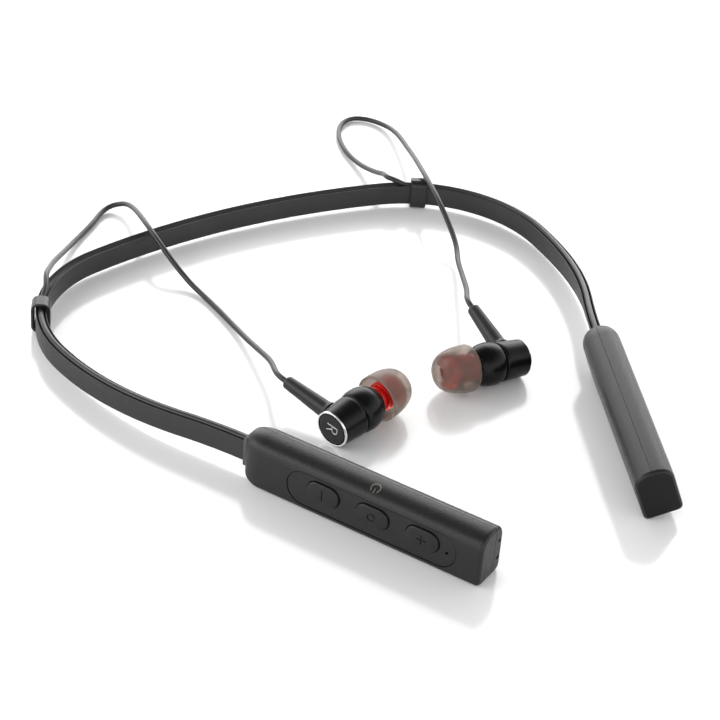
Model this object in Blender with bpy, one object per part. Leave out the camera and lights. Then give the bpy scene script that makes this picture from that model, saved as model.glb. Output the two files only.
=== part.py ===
"""Neckband earphones: a flexible strap with a control pod and a battery pod, and two corded earbuds.

The frame has +Z up, the back of the neck towards +Y and the pods towards -Y; the right arm is at -X.
The origin is on the resting surface under the middle of the neckband. Lengths below are in
millimetres and angles in degrees; MM turns them into metres where a vertex is made.
"""
import math

import bmesh
import bpy
from mathutils import Matrix, Vector

MM = 0.001
GAP = 0.3
RIGHT = -1
LEFT = 1
SIDE_NAMES = {RIGHT: "right", LEFT: "left"}

# Neck strap: each arm is four arcs in plan, from the middle of the back to its pod
BACK_Y = 81.7
ARM_ARCS = ((204.0, 13.0, 4), (37.2, 81.0, 13), (95.0, 26.5, 6), (-230.0, 5.0, 3))
STRAP_THICK = 2.8
STRAP_HEIGHT = 5.9
STRAP_CHAMFER = 0.5
STRAP_REST_Z = 1.15
STRAP_RISE_START = 100.0
STRAP_INSERT = 8.2
GROOVE_RADIUS = 1.05
GROOVE_DROP = 0.15
LIP_CHAMFER = 0.2
WIRE_Z = 2.3
WIRE_RADIUS = 0.45
WIRE_CHANNEL_RADIUS = 0.8
WIRE_SIDES = 6

# Slider loops
LOOP_AT = {RIGHT: 78.0, LEFT: 58.1}
LOOP_WALL = 0.8
LOOP_LENGTH = 4.6

# Pods
POD_LENGTH = 65.5
POD_HALF = 4.9
POD_TOP = 13.4
POD_ARCH_BASE = 9.6
POD_ARCH_POWER = 2.3
POD_CORNER = 1.2
POD_NOSE = 5.0
POD_NOSE_INSETS = (2.4, 2.3, 1.2)
POD_END_ROUND = 1.0
POD_WALL = 1.7
POD_FLOOR_WALL = 1.4
POD_LEAN = {RIGHT: 0.0, LEFT: 22.0}
POD_SPLIT = {RIGHT: -1.2, LEFT: 0.0}
SPLIT_GAP = 0.3
ENTRY_Z = 6.3
ARCH_STEPS = 10
CORNER_STEPS = 2

# Button panel and its three buttons
PANEL_FROM, PANEL_TO = 13.2, 58.9
PANEL_HEIGHT = 9.0
PANEL_Z = 6.0
PANEL_BACK, PANEL_FRONT = 4.1, 4.75
WINDOW_INSET = 1.2
LEDGE_FRONT = 3.9
BUTTON_Z = 6.9
BUTTON_LENGTH, BUTTON_HEIGHT = 8.8, 5.4
BUTTON_AT = (("minus", 23.2), ("centre", 36.7), ("plus", 50.1))
BUTTON_FRONT = 5.45
BUTTON_GAP = 0.25
MIC_AT, MIC_Z = 56.6, 5.8
STADIUM_STEPS = 8

# Control electronics
BOARD_BACK, BOARD_FRONT = 0.9, 1.6
BOARD_FROM, BOARD_TO = 9.6, 62.4
BOARD_LOW, BOARD_HIGH = 2.0, 10.6
SCREW_PLACES = ((11.6, 9.2), (60.6, 9.2))
PORT_AT, PORT_Z = 59.3, 6.5
FLAP_FROM = 54.3
FLAP_HEIGHT = 3.8
FLAP_BACK = -4.0

# Earbuds: profiles run along the bud's own axis, from the rear disc (0) to the tip
BUD_PLACE = {RIGHT: (-29.5, -20.7), LEFT: (31.8, -14.5)}
BUD_HEADING = {RIGHT: 16.5, LEFT: 179.0}
BUD_TILT = 4.5
STEM_LIFT = {RIGHT: 8.0, LEFT: 16.0}
STEM_AT = 4.0
STEM_FROM, STEM_TO = 5.6, 19.0
TIP_START = 16.5
TIP_RADIUS = 6.25
TURN_SIDES = 20

# Cords
CORD_RADIUS = 0.75
CORD_SPACING = 4.2
CORD_IN_POD = 8.0
GROOVE_POINT_SPACING = 6.0
CORD_LEAVES = {
    RIGHT: ((3.5, 0.0, 5.8), (8.2, 0.1, 6.9), (13.0, 1.7, 7.4)),
    LEFT: ((4.0, 0.0, 5.77), (6.4, 0.1, 6.9), (8.8, 1.7, 7.4)),
}
CORD_ROUTES = {
    RIGHT: (
        (-60.0, 74.6, 6.8), (-56.3, 79.9, 4.9), (-47.6, 89.7, 1.7), (-40.8, 95.8, 0.9),
        (-34.8, 100.5, 0.9), (-30.0, 104.9, 0.9), (-26.2, 106.9, 1.4), (-23.0, 104.8, 2.6),
        (-23.4, 98.1, 4.8), (-25.8, 88.3, 7.4), (-27.5, 79.7, 8.4), (-27.8, 71.9, 7.0),
        (-26.9, 65.3, 4.2), (-25.7, 58.7, 1.7), (-24.9, 52.3, 0.9), (-24.8, 44.3, 0.9),
        (-25.2, 34.7, 1.2), (-26.1, 26.9, 2.3), (-27.3, 18.7, 4.1), (-28.8, 10.5, 6.1),
    ),
    LEFT: (
        (50.7, 81.9, 7.1), (51.5, 85.9, 5.4), (52.7, 93.1, 2.9), (53.6, 100.9, 1.3),
        (54.9, 109.8, 0.9), (58.8, 119.7, 0.9), (64.0, 125.7, 0.9), (69.0, 126.9, 0.9),
        (72.9, 123.7, 0.9), (74.8, 118.3, 1.2), (73.8, 110.8, 2.6), (68.1, 94.6, 5.4),
        (62.0, 80.9, 8.8), (57.4, 69.4, 10.4), (55.1, 62.2, 10.2), (53.4, 55.6, 9.0),
        (52.3, 49.7, 6.6), (50.0, 42.1, 4.2), (46.6, 36.3, 3.6), (38.8, 22.9, 7.0),
        (33.0, 12.9, 9.6),
    ),
}

# Colours
DARK_RUBBER = (0.035, 0.036, 0.038)
POD_PLASTIC = (0.030, 0.030, 0.032)
GLOSS_BLACK = (0.010, 0.010, 0.011)
GREY_RUBBER = (0.20, 0.20, 0.20)
STEEL = (0.62, 0.62, 0.64)
SILVER = (0.80, 0.80, 0.82)
BOARD_GREEN = (0.02, 0.10, 0.05)
CELL_WRAP = (0.25, 0.27, 0.30)
NOZZLE_RED = (0.70, 0.03, 0.02)
SMOKY_SILICONE = (0.30, 0.22, 0.19)


def clear_scene():
    for obj in list(bpy.data.objects):
        bpy.data.objects.remove(obj, do_unlink=True)


def material(name, colour, roughness, metallic=0.0):
    mat = bpy.data.materials.new(name)
    mat.use_nodes = True
    shader = mat.node_tree.nodes["Principled BSDF"]
    shader.inputs["Base Color"].default_value = (*colour, 1.0)
    shader.inputs["Roughness"].default_value = roughness
    shader.inputs["Metallic"].default_value = metallic
    return mat


def add_object(name, bm, mat, parent=None, smooth_angle=35.0):
    """Turn a bmesh in millimetres into a named object in its parent's frame."""
    bmesh.ops.recalc_face_normals(bm, faces=bm.faces)
    bmesh.ops.scale(bm, vec=(MM, MM, MM), verts=bm.verts)
    mesh = bpy.data.meshes.new(name)
    bm.to_mesh(mesh)
    bm.free()
    mesh.shade_smooth()
    mesh.set_sharp_from_angle(angle=math.radians(smooth_angle))
    obj = bpy.data.objects.new(name, mesh)
    bpy.context.scene.collection.objects.link(obj)
    if mat:
        mesh.materials.append(mat)
    obj.parent = parent
    return obj


def add_frame(name, location, rotation=(0.0, 0.0, 0.0)):
    """An empty whose location is in millimetres and whose rotation is in degrees."""
    empty = bpy.data.objects.new(name, None)
    bpy.context.scene.collection.objects.link(empty)
    empty.location = Vector(location) * MM
    empty.rotation_euler = [math.radians(angle) for angle in rotation]
    return empty


def combine(target, cutter, operation="DIFFERENCE"):
    """Add an exact Boolean with a hidden cutter."""
    cutter.hide_render = True
    cutter.display_type = "WIRE"
    modifier = target.modifiers.new(operation.title(), "BOOLEAN")
    modifier.operation = operation
    modifier.object = cutter


def skin_rings(bm, rings, closed=True, wrap=False):
    """Join rings of vertices with quads; return the first and last ring."""
    loops = [[bm.verts.new(point) for point in ring] for ring in rings]
    count = len(loops[0])
    pairs = list(zip(loops, loops[1:]))
    if wrap:
        pairs.append((loops[-1], loops[0]))
    for low, high in pairs:
        for i in range(count if closed else count - 1):
            j = (i + 1) % count
            bm.faces.new((low[i], low[j], high[j], high[i]))
    return loops[0], loops[-1]


def loft(rings):
    """A closed solid through rings of equal counts, capped at both ends."""
    bm = bmesh.new()
    first, last = skin_rings(bm, rings)
    bm.faces.new(first)
    bm.faces.new(last)
    return bm


def sleeve(outline, hole, make_ring):
    """A tube with straight walls: outline and hole have equal counts; make_ring places each end."""
    bm = bmesh.new()
    rings = [make_ring(outline, 0), make_ring(outline, 1), make_ring(hole, 1), make_ring(hole, 0)]
    skin_rings(bm, rings, wrap=True)
    return bm


def box(low, high):
    """A box between two corners."""
    corners = [(low[0], low[1]), (high[0], low[1]), (high[0], high[1]), (low[0], high[1])]
    return loft([[Vector((x, y, z)) for x, y in corners] for z in (low[2], high[2])])


def rounded_rectangle(half_wide, low, high, radius, steps=2):
    """Outline points (across, up) of an upright rounded rectangle."""
    points = []
    centres = ((1, high, 0), (-1, high, 90), (-1, low, 180), (1, low, 270))
    for sign, edge, start in centres:
        up_sign = 1 if edge == high else -1
        for i in range(steps + 1):
            angle = math.radians(start + 90.0 * i / steps)
            across = sign * (half_wide - radius) + radius * math.cos(angle)
            up = edge - up_sign * radius + radius * math.sin(angle)
            points.append((across, up))
    return points


def stadium(length, height, steps=STADIUM_STEPS):
    """Outline points (along, up) of a stadium centred on zero."""
    radius = height / 2
    straight = length / 2 - radius
    points = []
    for sign, start in ((1, -90), (-1, 90)):
        for i in range(steps + 1):
            angle = math.radians(start + 180.0 * i / steps)
            points.append((sign * straight + radius * math.cos(angle), radius * math.sin(angle)))
    return points


def circle(radius, sides):
    """Outline points of a circle centred on zero."""
    turns = [2 * math.pi * i / sides for i in range(sides)]
    return [(radius * math.cos(turn), radius * math.sin(turn)) for turn in turns]


def turned(profile, sides=TURN_SIDES, ring=False):
    """Revolve (along, radius) points about X; a ring's profile is a closed loop."""
    rings = []
    for along, radius in profile:
        rings.append([Vector((along, y, z)) for y, z in circle(radius, sides)])
    if not ring:
        return loft(rings)
    bm = bmesh.new()
    skin_rings(bm, rings, wrap=True)
    return bm


# --- The strap's route -----------------------------------------------------------------------

def arm_stations():
    """Distances along an arm at which the strap has a section."""
    stations = [0.0]
    for radius, turn, steps in ARM_ARCS:
        length = abs(radius) * math.radians(turn)
        start = stations[-1]
        stations += [start + length * (i + 1) / steps for i in range(steps)]
    return stations


ARM_LENGTH = sum(abs(radius) * math.radians(turn) for radius, turn, _ in ARM_ARCS)


def arm_plan(distance):
    """Plan position (out, back) and heading in radians on an arm, before mirroring."""
    out, back, heading = 0.0, BACK_Y, 0.0
    left_over = distance
    for radius, turn, _ in ARM_ARCS:
        length = min(left_over, abs(radius) * math.radians(turn))
        swept = length / radius
        out += radius * (math.sin(heading + swept) - math.sin(heading))
        back += radius * (math.cos(heading + swept) - math.cos(heading))
        heading += swept
        left_over -= length
    out += left_over * math.cos(heading)
    back -= left_over * math.sin(heading)
    return out, back, heading


def rise(distance):
    """Eased share, 0 to 1, of the climb and lean between the loops and the pod."""
    share = (distance - STRAP_RISE_START) / (ARM_LENGTH - STRAP_RISE_START)
    share = min(max(share, 0.0), 1.0)
    return share * share * (3.0 - 2.0 * share)


END_OUT, END_BACK, END_HEADING = arm_plan(ARM_LENGTH)
POD_TOE = math.degrees(END_HEADING) - 90.0


def strap_frame(side, distance):
    """Strap centre at the middle of its height, with outward and up unit vectors."""
    out, back, heading = arm_plan(distance)
    outward = Vector((side * math.sin(heading), math.cos(heading), 0.0))
    lean = math.radians(POD_LEAN[side]) * rise(distance)
    entry = pod_frame_matrix(side) @ Vector((0.0, 0.0, ENTRY_Z))
    rest = STRAP_REST_Z + STRAP_HEIGHT / 2
    height = rest + (entry.z - rest) * rise(distance)
    centre = Vector((side * out, back, height))
    across = outward * math.cos(lean) + Vector((0, 0, math.sin(lean)))
    up = Vector((0, 0, math.cos(lean))) - outward * math.sin(lean)
    return centre, across, up


def on_strap(side, distance, across, up):
    """A point of the strap's section; up is measured from its lower edge."""
    centre, across_unit, up_unit = strap_frame(side, distance)
    return centre + across_unit * across + up_unit * (up - STRAP_HEIGHT / 2)


# --- The pods' own frames --------------------------------------------------------------------

def pod_section(side, along, insets=(0.0, 0.0, 0.0), wall=0.0, floor_wall=0.0):
    """One upright section of a pod: flat sides, small lower corners and an arched top."""
    wide, low, top = insets
    half = POD_HALF - wide - wall
    low += floor_wall
    corner = POD_CORNER
    arch = POD_TOP - top - floor_wall - POD_ARCH_BASE
    points = []
    for i in range(CORNER_STEPS + 1):
        angle = math.radians(-90.0 + 90.0 * i / CORNER_STEPS)
        across, up = half - corner + corner * math.cos(angle), low + corner + corner * math.sin(angle)
        points.append((across, up))
    power = 2.0 / POD_ARCH_POWER
    for i in range(1, ARCH_STEPS):
        angle = math.pi * i / ARCH_STEPS
        across = math.copysign(abs(math.cos(angle)) ** power, math.cos(angle))
        points.append((half * across, POD_ARCH_BASE + arch * math.sin(angle) ** power))
    lower = [(-across, up) for across, up in points[:CORNER_STEPS + 1]]
    points += reversed(lower)
    return [Vector((side * across, -along, up)) for across, up in points]


def pod_frame_matrix(side):
    """World matrix, in millimetres, of a pod whose strap entry is at the arm's end."""
    lean = Matrix.Rotation(math.radians(-side * POD_LEAN[side]), 4, "Y")
    lift = -min((lean @ point).z for point in pod_section(side, 0.0))
    turn = Matrix.Rotation(math.radians(-side * POD_TOE), 4, "Z")
    outward = turn @ Vector((side, 0.0, 0.0))
    shift = ENTRY_Z * math.sin(math.radians(POD_LEAN[side]))
    place = Vector((side * END_OUT, END_BACK, lift)) + outward * shift
    return Matrix.Translation(place) @ turn @ lean


def add_pod_frame(side):
    matrix = pod_frame_matrix(side)
    lean = -side * POD_LEAN[side]
    return add_frame(f"{SIDE_NAMES[side]}_pod_frame", matrix.translation, (0.0, lean, -side * POD_TOE))


def pod_solid(side):
    """The pod's outer form: a rounded nose, straight sides and a softly rounded end."""
    rings = []
    nose_steps = 4
    for i in range(nose_steps + 1):
        angle = math.pi / 2 * i / nose_steps
        insets = [inset * (1.0 - math.sin(angle)) for inset in POD_NOSE_INSETS]
        rings.append(pod_section(side, POD_NOSE * (1.0 - math.cos(angle)), insets))
    end_steps = 3
    for i in range(end_steps + 1):
        angle = math.pi / 2 * i / end_steps
        inset = POD_END_ROUND * (1.0 - math.cos(angle))
        along = POD_LENGTH - POD_END_ROUND * (1.0 - math.sin(angle))
        rings.append(pod_section(side, along, (inset, inset, inset)))
    return loft(rings)


def pod_hollow(side):
    """The space inside a pod."""
    rings = [
        pod_section(side, 3.2, (1.0, 1.4, 0.6), POD_WALL, POD_FLOOR_WALL),
        pod_section(side, 6.2, (0.0, 0.0, 0.0), POD_WALL, POD_FLOOR_WALL),
        pod_section(side, POD_LENGTH - POD_FLOOR_WALL, (0.0, 0.0, 0.0), POD_WALL, POD_FLOOR_WALL),
    ]
    return loft(rings)


def pod_prism(side, outline, place, depth):
    """A prism across a pod: outline (along, up) moved to place, between two depths outward."""
    along_at, up_at = place
    rings = []
    for across in depth:
        rings.append([Vector((side * across, -(along_at + along), up_at + up)) for along, up in outline])
    return loft(rings)


def pod_box(side, along, across, up):
    """A box in a pod's frame from (low, high) pairs along, across and up."""
    low = Vector((min(side * across[0], side * across[1]), -along[1], up[0]))
    high = Vector((max(side * across[0], side * across[1]), -along[0], up[1]))
    return box(low, high)


def pod_shell(side, name, part, mat, frame):
    """One half of a pod: part is 1 for the outer shell and -1 for the inner one."""
    shell = add_object(name, pod_solid(side), mat, frame)
    combine(shell, add_object(f"cut_{name}_hollow", pod_hollow(side), None, frame))
    reach = POD_HALF + 2.0
    edge = POD_SPLIT[side] + part * SPLIT_GAP / 2
    across = (-reach, edge) if part > 0 else (edge, reach)
    waste = pod_box(side, (-2.0, POD_LENGTH + 2.0), across, (-2.0, POD_TOP + 2.0))
    combine(shell, add_object(f"cut_{name}_split", waste, None, frame))
    slot_half = STRAP_THICK / 2 + GAP
    slot_low = ENTRY_Z - STRAP_HEIGHT / 2 - GAP
    slot_high = ENTRY_Z + STRAP_HEIGHT / 2 - GROOVE_DROP + CORD_RADIUS + GAP
    slot = pod_box(side, (-1.0, 4.5), (-slot_half, slot_half), (slot_low, slot_high))
    combine(shell, add_object(f"cut_{name}_slot", slot, None, frame))
    return shell


# --- Neck strap and what sits on it ----------------------------------------------------------

def strap_profile():
    """The strap's section, (across, up), with a round cord groove along its top edge."""
    half = STRAP_THICK / 2
    points = [(-half + STRAP_CHAMFER, 0.0), (half - STRAP_CHAMFER, 0.0), (half, STRAP_CHAMFER)]
    points.append((half, STRAP_HEIGHT - LIP_CHAMFER))
    points.append((half - LIP_CHAMFER, STRAP_HEIGHT))
    centre_up = STRAP_HEIGHT - GROOVE_DROP
    start = math.asin(GROOVE_DROP / GROOVE_RADIUS)
    steps = 5
    for i in range(steps + 1):
        angle = start - (math.pi + 2 * start) * i / steps
        points.append((GROOVE_RADIUS * math.cos(angle), centre_up + GROOVE_RADIUS * math.sin(angle)))
    points.append((-half + LIP_CHAMFER, STRAP_HEIGHT))
    points.append((-half, STRAP_HEIGHT - LIP_CHAMFER))
    points.append((-half, STRAP_CHAMFER))
    return points


def strap_stations():
    """(side, distance) pairs from inside the right pod to inside the left pod."""
    arm = arm_stations() + [ARM_LENGTH + STRAP_INSERT]
    right = [(RIGHT, distance) for distance in reversed(arm)]
    return right + [(LEFT, distance) for distance in arm[1:]]


def strap_ring(side, distance, outline):
    """A section with its across direction the same for both arms (outward along the whole strap)."""
    return [on_strap(side, distance, across, up) for across, up in outline]


def add_strap(mat, wire_mat):
    stations = strap_stations()
    strap = add_object("neck_strap", loft([strap_ring(*place, strap_profile()) for place in stations]), mat)
    beyond = ARM_LENGTH + STRAP_INSERT + 1.0
    through = [(RIGHT, beyond)] + stations[1:-1] + [(LEFT, beyond)]
    channel = [(across, WIRE_Z + up) for across, up in circle(WIRE_CHANNEL_RADIUS, WIRE_SIDES)]
    hollow = loft([strap_ring(*place, channel) for place in through])
    combine(strap, add_object("cut_wire_channel", hollow, None))
    wire = [(across, WIRE_Z + up) for across, up in circle(WIRE_RADIUS, WIRE_SIDES)]
    add_object("memory_wire", loft([strap_ring(*place, wire) for place in stations[1:-1]]), wire_mat)


def add_slider_loop(side, mat):
    """A closed loop round the strap and cord, in a frame on the axis of the strap's shoulder arc."""
    start, end = LOOP_AT[side] - LOOP_LENGTH / 2, LOOP_AT[side] + LOOP_LENGTH / 2
    half = STRAP_THICK / 2 + GAP
    high = STRAP_HEIGHT - GROOVE_DROP + CORD_RADIUS + GAP
    hole = rounded_rectangle(half, -GAP, high, 1.0)
    outline = rounded_rectangle(half + LOOP_WALL, -GAP - LOOP_WALL, high + LOOP_WALL, 1.9)
    centre, across_unit, up_unit = strap_frame(side, LOOP_AT[side])
    forward = (strap_frame(side, end)[0] - strap_frame(side, start)[0]).normalized()
    axis = shoulder_axis(side)

    def make_ring(points, which):
        base = centre + forward * LOOP_LENGTH * (which - 0.5) - up_unit * STRAP_HEIGHT / 2
        return [base + across_unit * across + up_unit * up - axis for across, up in points]

    frame = add_frame(f"{SIDE_NAMES[side]}_loop_axis", axis)
    add_object(f"{SIDE_NAMES[side]}_slider_loop", sleeve(outline, hole, make_ring), mat, frame)


def shoulder_axis(side):
    """Centre of the shoulder arc in plan."""
    back_length = ARM_ARCS[0][0] * math.radians(ARM_ARCS[0][1])
    out, back, heading = arm_plan(back_length)
    radius = ARM_ARCS[1][0]
    return Vector((side * (out - radius * math.sin(heading)), back - radius * math.cos(heading), 0.0))


def add_pod_sleeve(side, name, along, wall, top_wall, mat, frame):
    """A rectangular sleeve round the strap and cord, in a pod's frame."""
    half = STRAP_THICK / 2 + GAP
    low = ENTRY_Z - STRAP_HEIGHT / 2 - GAP
    high = ENTRY_Z + STRAP_HEIGHT / 2 - GROOVE_DROP + CORD_RADIUS + GAP
    hole = rounded_rectangle(half, low, high, 0.3)
    outline = rounded_rectangle(half + wall, low - top_wall, high + top_wall, 0.6)

    def make_ring(points, which):
        return [Vector((side * across, -along[which], up)) for across, up in points]

    add_object(name, sleeve(outline, hole, make_ring), mat, frame)


# --- Control pod -----------------------------------------------------------------------------

def add_control_pod(mats, frame):
    side = RIGHT
    shell = pod_shell(side, "right_pod_outer_shell", 1, mats["pod"], frame)
    panel_at = ((PANEL_FROM + PANEL_TO) / 2, PANEL_Z)
    panel_length = PANEL_TO - PANEL_FROM
    pocket = stadium(panel_length + 2 * GAP, PANEL_HEIGHT + 2 * GAP)
    window = stadium(panel_length - 2 * WINDOW_INSET, PANEL_HEIGHT - WINDOW_INSET)
    pocket_solid = pod_prism(side, pocket, panel_at, (LEDGE_FRONT, POD_HALF + 1.0))
    window_solid = pod_prism(side, window, panel_at, (POD_HALF - POD_WALL - 1.0, LEDGE_FRONT + 0.5))
    combine(shell, add_object("cut_panel_pocket", pocket_solid, None, frame))
    combine(shell, add_object("cut_panel_window", window_solid, None, frame))
    for index, place in enumerate(SCREW_PLACES):
        boss = pod_prism(side, circle(1.4, 10), place, (BOARD_FRONT + GAP, POD_HALF - POD_WALL + 0.4))
        combine(shell, add_object(f"add_boss_{index}", boss, None, frame), "UNION")
        pilot = pod_prism(side, circle(0.75, 8), place, (BOARD_FRONT, POD_HALF - POD_WALL))
        combine(shell, add_object(f"cut_pilot_{index}", pilot, None, frame))

    cover = pod_shell(side, "right_pod_inner_cover", -1, mats["pod"], frame)
    flap_low, flap_high = PORT_Z - FLAP_HEIGHT / 2, PORT_Z + FLAP_HEIGHT / 2
    recess = pod_box(side, (FLAP_FROM - GAP, POD_LENGTH + 2.0), (-POD_HALF - 1.0, FLAP_BACK + GAP),
                     (flap_low - GAP, flap_high + GAP))
    opening = pod_box(side, (PORT_AT - 4.1, PORT_AT + 4.1), (-POD_HALF, -2.0),
                      (PORT_Z - 1.7, PORT_Z + 1.7))
    combine(cover, add_object("cut_flap_recess", recess, None, frame))
    combine(cover, add_object("cut_port_opening", opening, None, frame))

    add_panel(side, panel_at, panel_length, mats, frame)
    for label, along in BUTTON_AT:
        add_button(side, label, along, mats, frame)
    add_electronics(side, mats, frame)
    add_flap(side, mats["rubber"], frame)


def add_panel(side, panel_at, panel_length, mats, frame):
    plate = pod_prism(side, stadium(panel_length, PANEL_HEIGHT), panel_at, (PANEL_BACK, PANEL_FRONT))
    panel = add_object("button_panel", plate, mats["panel"], frame)
    depth = (PANEL_BACK - 1.0, PANEL_FRONT + 1.0)
    opening = stadium(BUTTON_LENGTH + 2 * BUTTON_GAP, BUTTON_HEIGHT + 2 * BUTTON_GAP)
    for label, along in BUTTON_AT:
        hole = pod_prism(side, opening, (along, BUTTON_Z), depth)
        combine(panel, add_object(f"cut_{label}_hole", hole, None, frame))
    hole = pod_prism(side, circle(0.45, 8), (MIC_AT, MIC_Z), depth)
    combine(panel, add_object("cut_microphone_hole", hole, None, frame))


def add_button(side, label, along, mats, frame):
    """A cap with a longer, lower flange behind the panel, stacked through a slim neck."""
    edge = 0.25
    flange = stadium(10.6, 4.0)
    neck = stadium(7.8, 3.6)
    cap = stadium(BUTTON_LENGTH, BUTTON_HEIGHT)
    face = stadium(BUTTON_LENGTH - 2 * edge, BUTTON_HEIGHT - 2 * edge)
    stack = ((3.3, flange), (3.75, flange), (3.75, neck), (4.05, neck), (4.05, cap),
             (BUTTON_FRONT - edge, cap), (BUTTON_FRONT, face))
    rings = []
    for across, outline in stack:
        rings.append([Vector((side * across, -(along + x), BUTTON_Z + z)) for x, z in outline])
    add_object(f"{label}_button", loft(rings), mats["button"], frame)


def add_electronics(side, mats, frame):
    board = pod_box(side, (BOARD_FROM, BOARD_TO), (BOARD_BACK, BOARD_FRONT), (BOARD_LOW, BOARD_HIGH))
    circuit = add_object("circuit_board", board, mats["board"], frame)
    for index, place in enumerate(SCREW_PLACES):
        hole = pod_prism(side, circle(0.8, 8), place, (BOARD_BACK - 1.0, BOARD_FRONT + 1.0))
        combine(circuit, add_object(f"cut_board_hole_{index}", hole, None, frame))
        stack = ((-0.1, 1.1), (BOARD_BACK - GAP, 1.1), (BOARD_BACK - GAP, 0.45), (2.9, 0.45))
        rings = []
        for across, radius in stack:
            rings.append([Vector((side * across, -(place[0] + x), place[1] + z))
                          for x, z in circle(radius, 8)])
        add_object(f"circuit_board_screw_{index + 1}", loft(rings), mats["steel"], frame)

    part_back = BOARD_FRONT + GAP
    for label, along in BUTTON_AT:
        rings = []
        for across, size in ((part_back, 1.7), (2.5, 1.7), (2.5, 0.9), (2.85, 0.9)):
            rings.append([Vector((side * across, -(along + x * size), BUTTON_Z + z * size))
                          for x, z in ((-1, -1), (1, -1), (1, 1), (-1, 1))])
        add_object(f"{label}_switch", loft(rings), mats["steel"], frame)
    chip = pod_box(side, (27.4, 32.6), (-0.4, BOARD_BACK - GAP), (4.2, 9.4))
    add_object("radio_chip", chip, mats["chip"], frame)
    capsule = pod_prism(side, circle(1.3, 12), (MIC_AT, MIC_Z), (part_back, 2.9))
    add_object("microphone", capsule, mats["steel"], frame)

    rings = []
    for across, grow in ((BOARD_BACK - GAP, 0.0), (-3.4, 0.0), (-3.4, -0.35), (-0.2, -0.35)):
        half_long, half_high = 3.75 + grow, 1.35 + grow
        rings.append([Vector((side * across, -(PORT_AT + x * half_long), PORT_Z + z * half_high))
                      for x, z in ((-1, -1), (1, -1), (1, 1), (-1, 1))])
    add_object("charging_socket", loft(rings), mats["steel"], frame)


def add_flap(side, mat, frame):
    """The port flap is the piece of the pod's own skin that fills the recess."""
    flap = add_object("charging_port_flap", pod_solid(side), mat, frame)
    keep = pod_box(side, (FLAP_FROM, POD_LENGTH + 2.0), (-POD_HALF - 1.0, FLAP_BACK),
                   (PORT_Z - FLAP_HEIGHT / 2, PORT_Z + FLAP_HEIGHT / 2))
    combine(flap, add_object("keep_flap", keep, None, frame), "INTERSECT")


# --- Battery pod -----------------------------------------------------------------------------

def add_battery_pod(mats, frame):
    side = LEFT
    pod_shell(side, "left_pod_outer_shell", 1, mats["pod"], frame)
    pod_shell(side, "left_pod_inner_shell", -1, mats["pod"], frame)
    outline = rounded_rectangle(2.6, 2.4, 11.0, 0.8)
    rings = []
    for along in (14.0, 54.0):
        rings.append([Vector((side * across, -along, up)) for across, up in outline])
    add_object("battery_cell", loft(rings), mats["cell"], frame)
    board = pod_box(side, (55.0, 61.0), (-0.4, 0.4), (2.6, 10.8))
    add_object("battery_board", board, mats["board"], frame)


# --- Earbuds ---------------------------------------------------------------------------------

def ease(start, end, share):
    return start + (end - start) * share


def rear_housing_profile():
    outer = [(1.6, 4.9), (4.6, 5.2), (7.0, 5.3), (7.6, 5.1)]
    inner = [(7.6, 4.3), (2.4, 4.1), (2.4, 0.6), (1.6, 0.6)]
    return outer + inner


def front_housing_profile():
    outer = [(8.0, 5.0), (8.6, 5.35), (9.6, 5.6), (10.8, 5.68)]
    outer += [(12.2, 5.5), (13.6, 5.0), (14.8, 4.35), (15.5, 3.7)]
    inner = [(15.5, 2.1), (14.4, 2.1), (13.0, 3.9), (11.6, 4.3), (8.0, 4.3)]
    return outer + inner


def nozzle_profile():
    """A tube with a wide base against the housing and a small lip that holds the tip."""
    base = [(13.0, 1.75), (15.8, 1.75), (15.8, 3.4), (16.6, 3.4), (16.6, 2.7)]
    lip = [(19.6, 2.7), (20.0, 2.85), (20.9, 2.85)]
    return base + lip + [(20.9, 1.25), (13.0, 1.25)]


def ear_tip_profile():
    """Outer dome, front lip, bore round the nozzle and the hollow under the skirt."""
    dome = []
    length = 9.4
    for i in range(9):
        share = i / 8
        radius = TIP_RADIUS * (1.0 - max(0.0, share - 0.16) ** 2.4 * 0.86)
        if i == 0:
            radius = TIP_RADIUS - 0.3
        dome.append((TIP_START + length * share, radius))
    front = TIP_START + length
    bore = [(front, 2.3), (front - 1.0, 1.9), (front - 3.6, 1.9), (front - 3.6, 3.15), (17.6, 3.15)]
    hollow = [(17.6, 3.75), (22.4, 3.75), (21.6, 4.9), (TIP_START, 5.45)]
    return dome + bore + hollow


def bud_axis_height():
    """Height of the rear disc's centre that rests the bud on the floor."""
    tilt = math.radians(BUD_TILT)
    profile = ear_tip_profile() + rear_housing_profile() + front_housing_profile()
    return max(radius * math.cos(tilt) - along * math.sin(tilt) for along, radius in profile)


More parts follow.
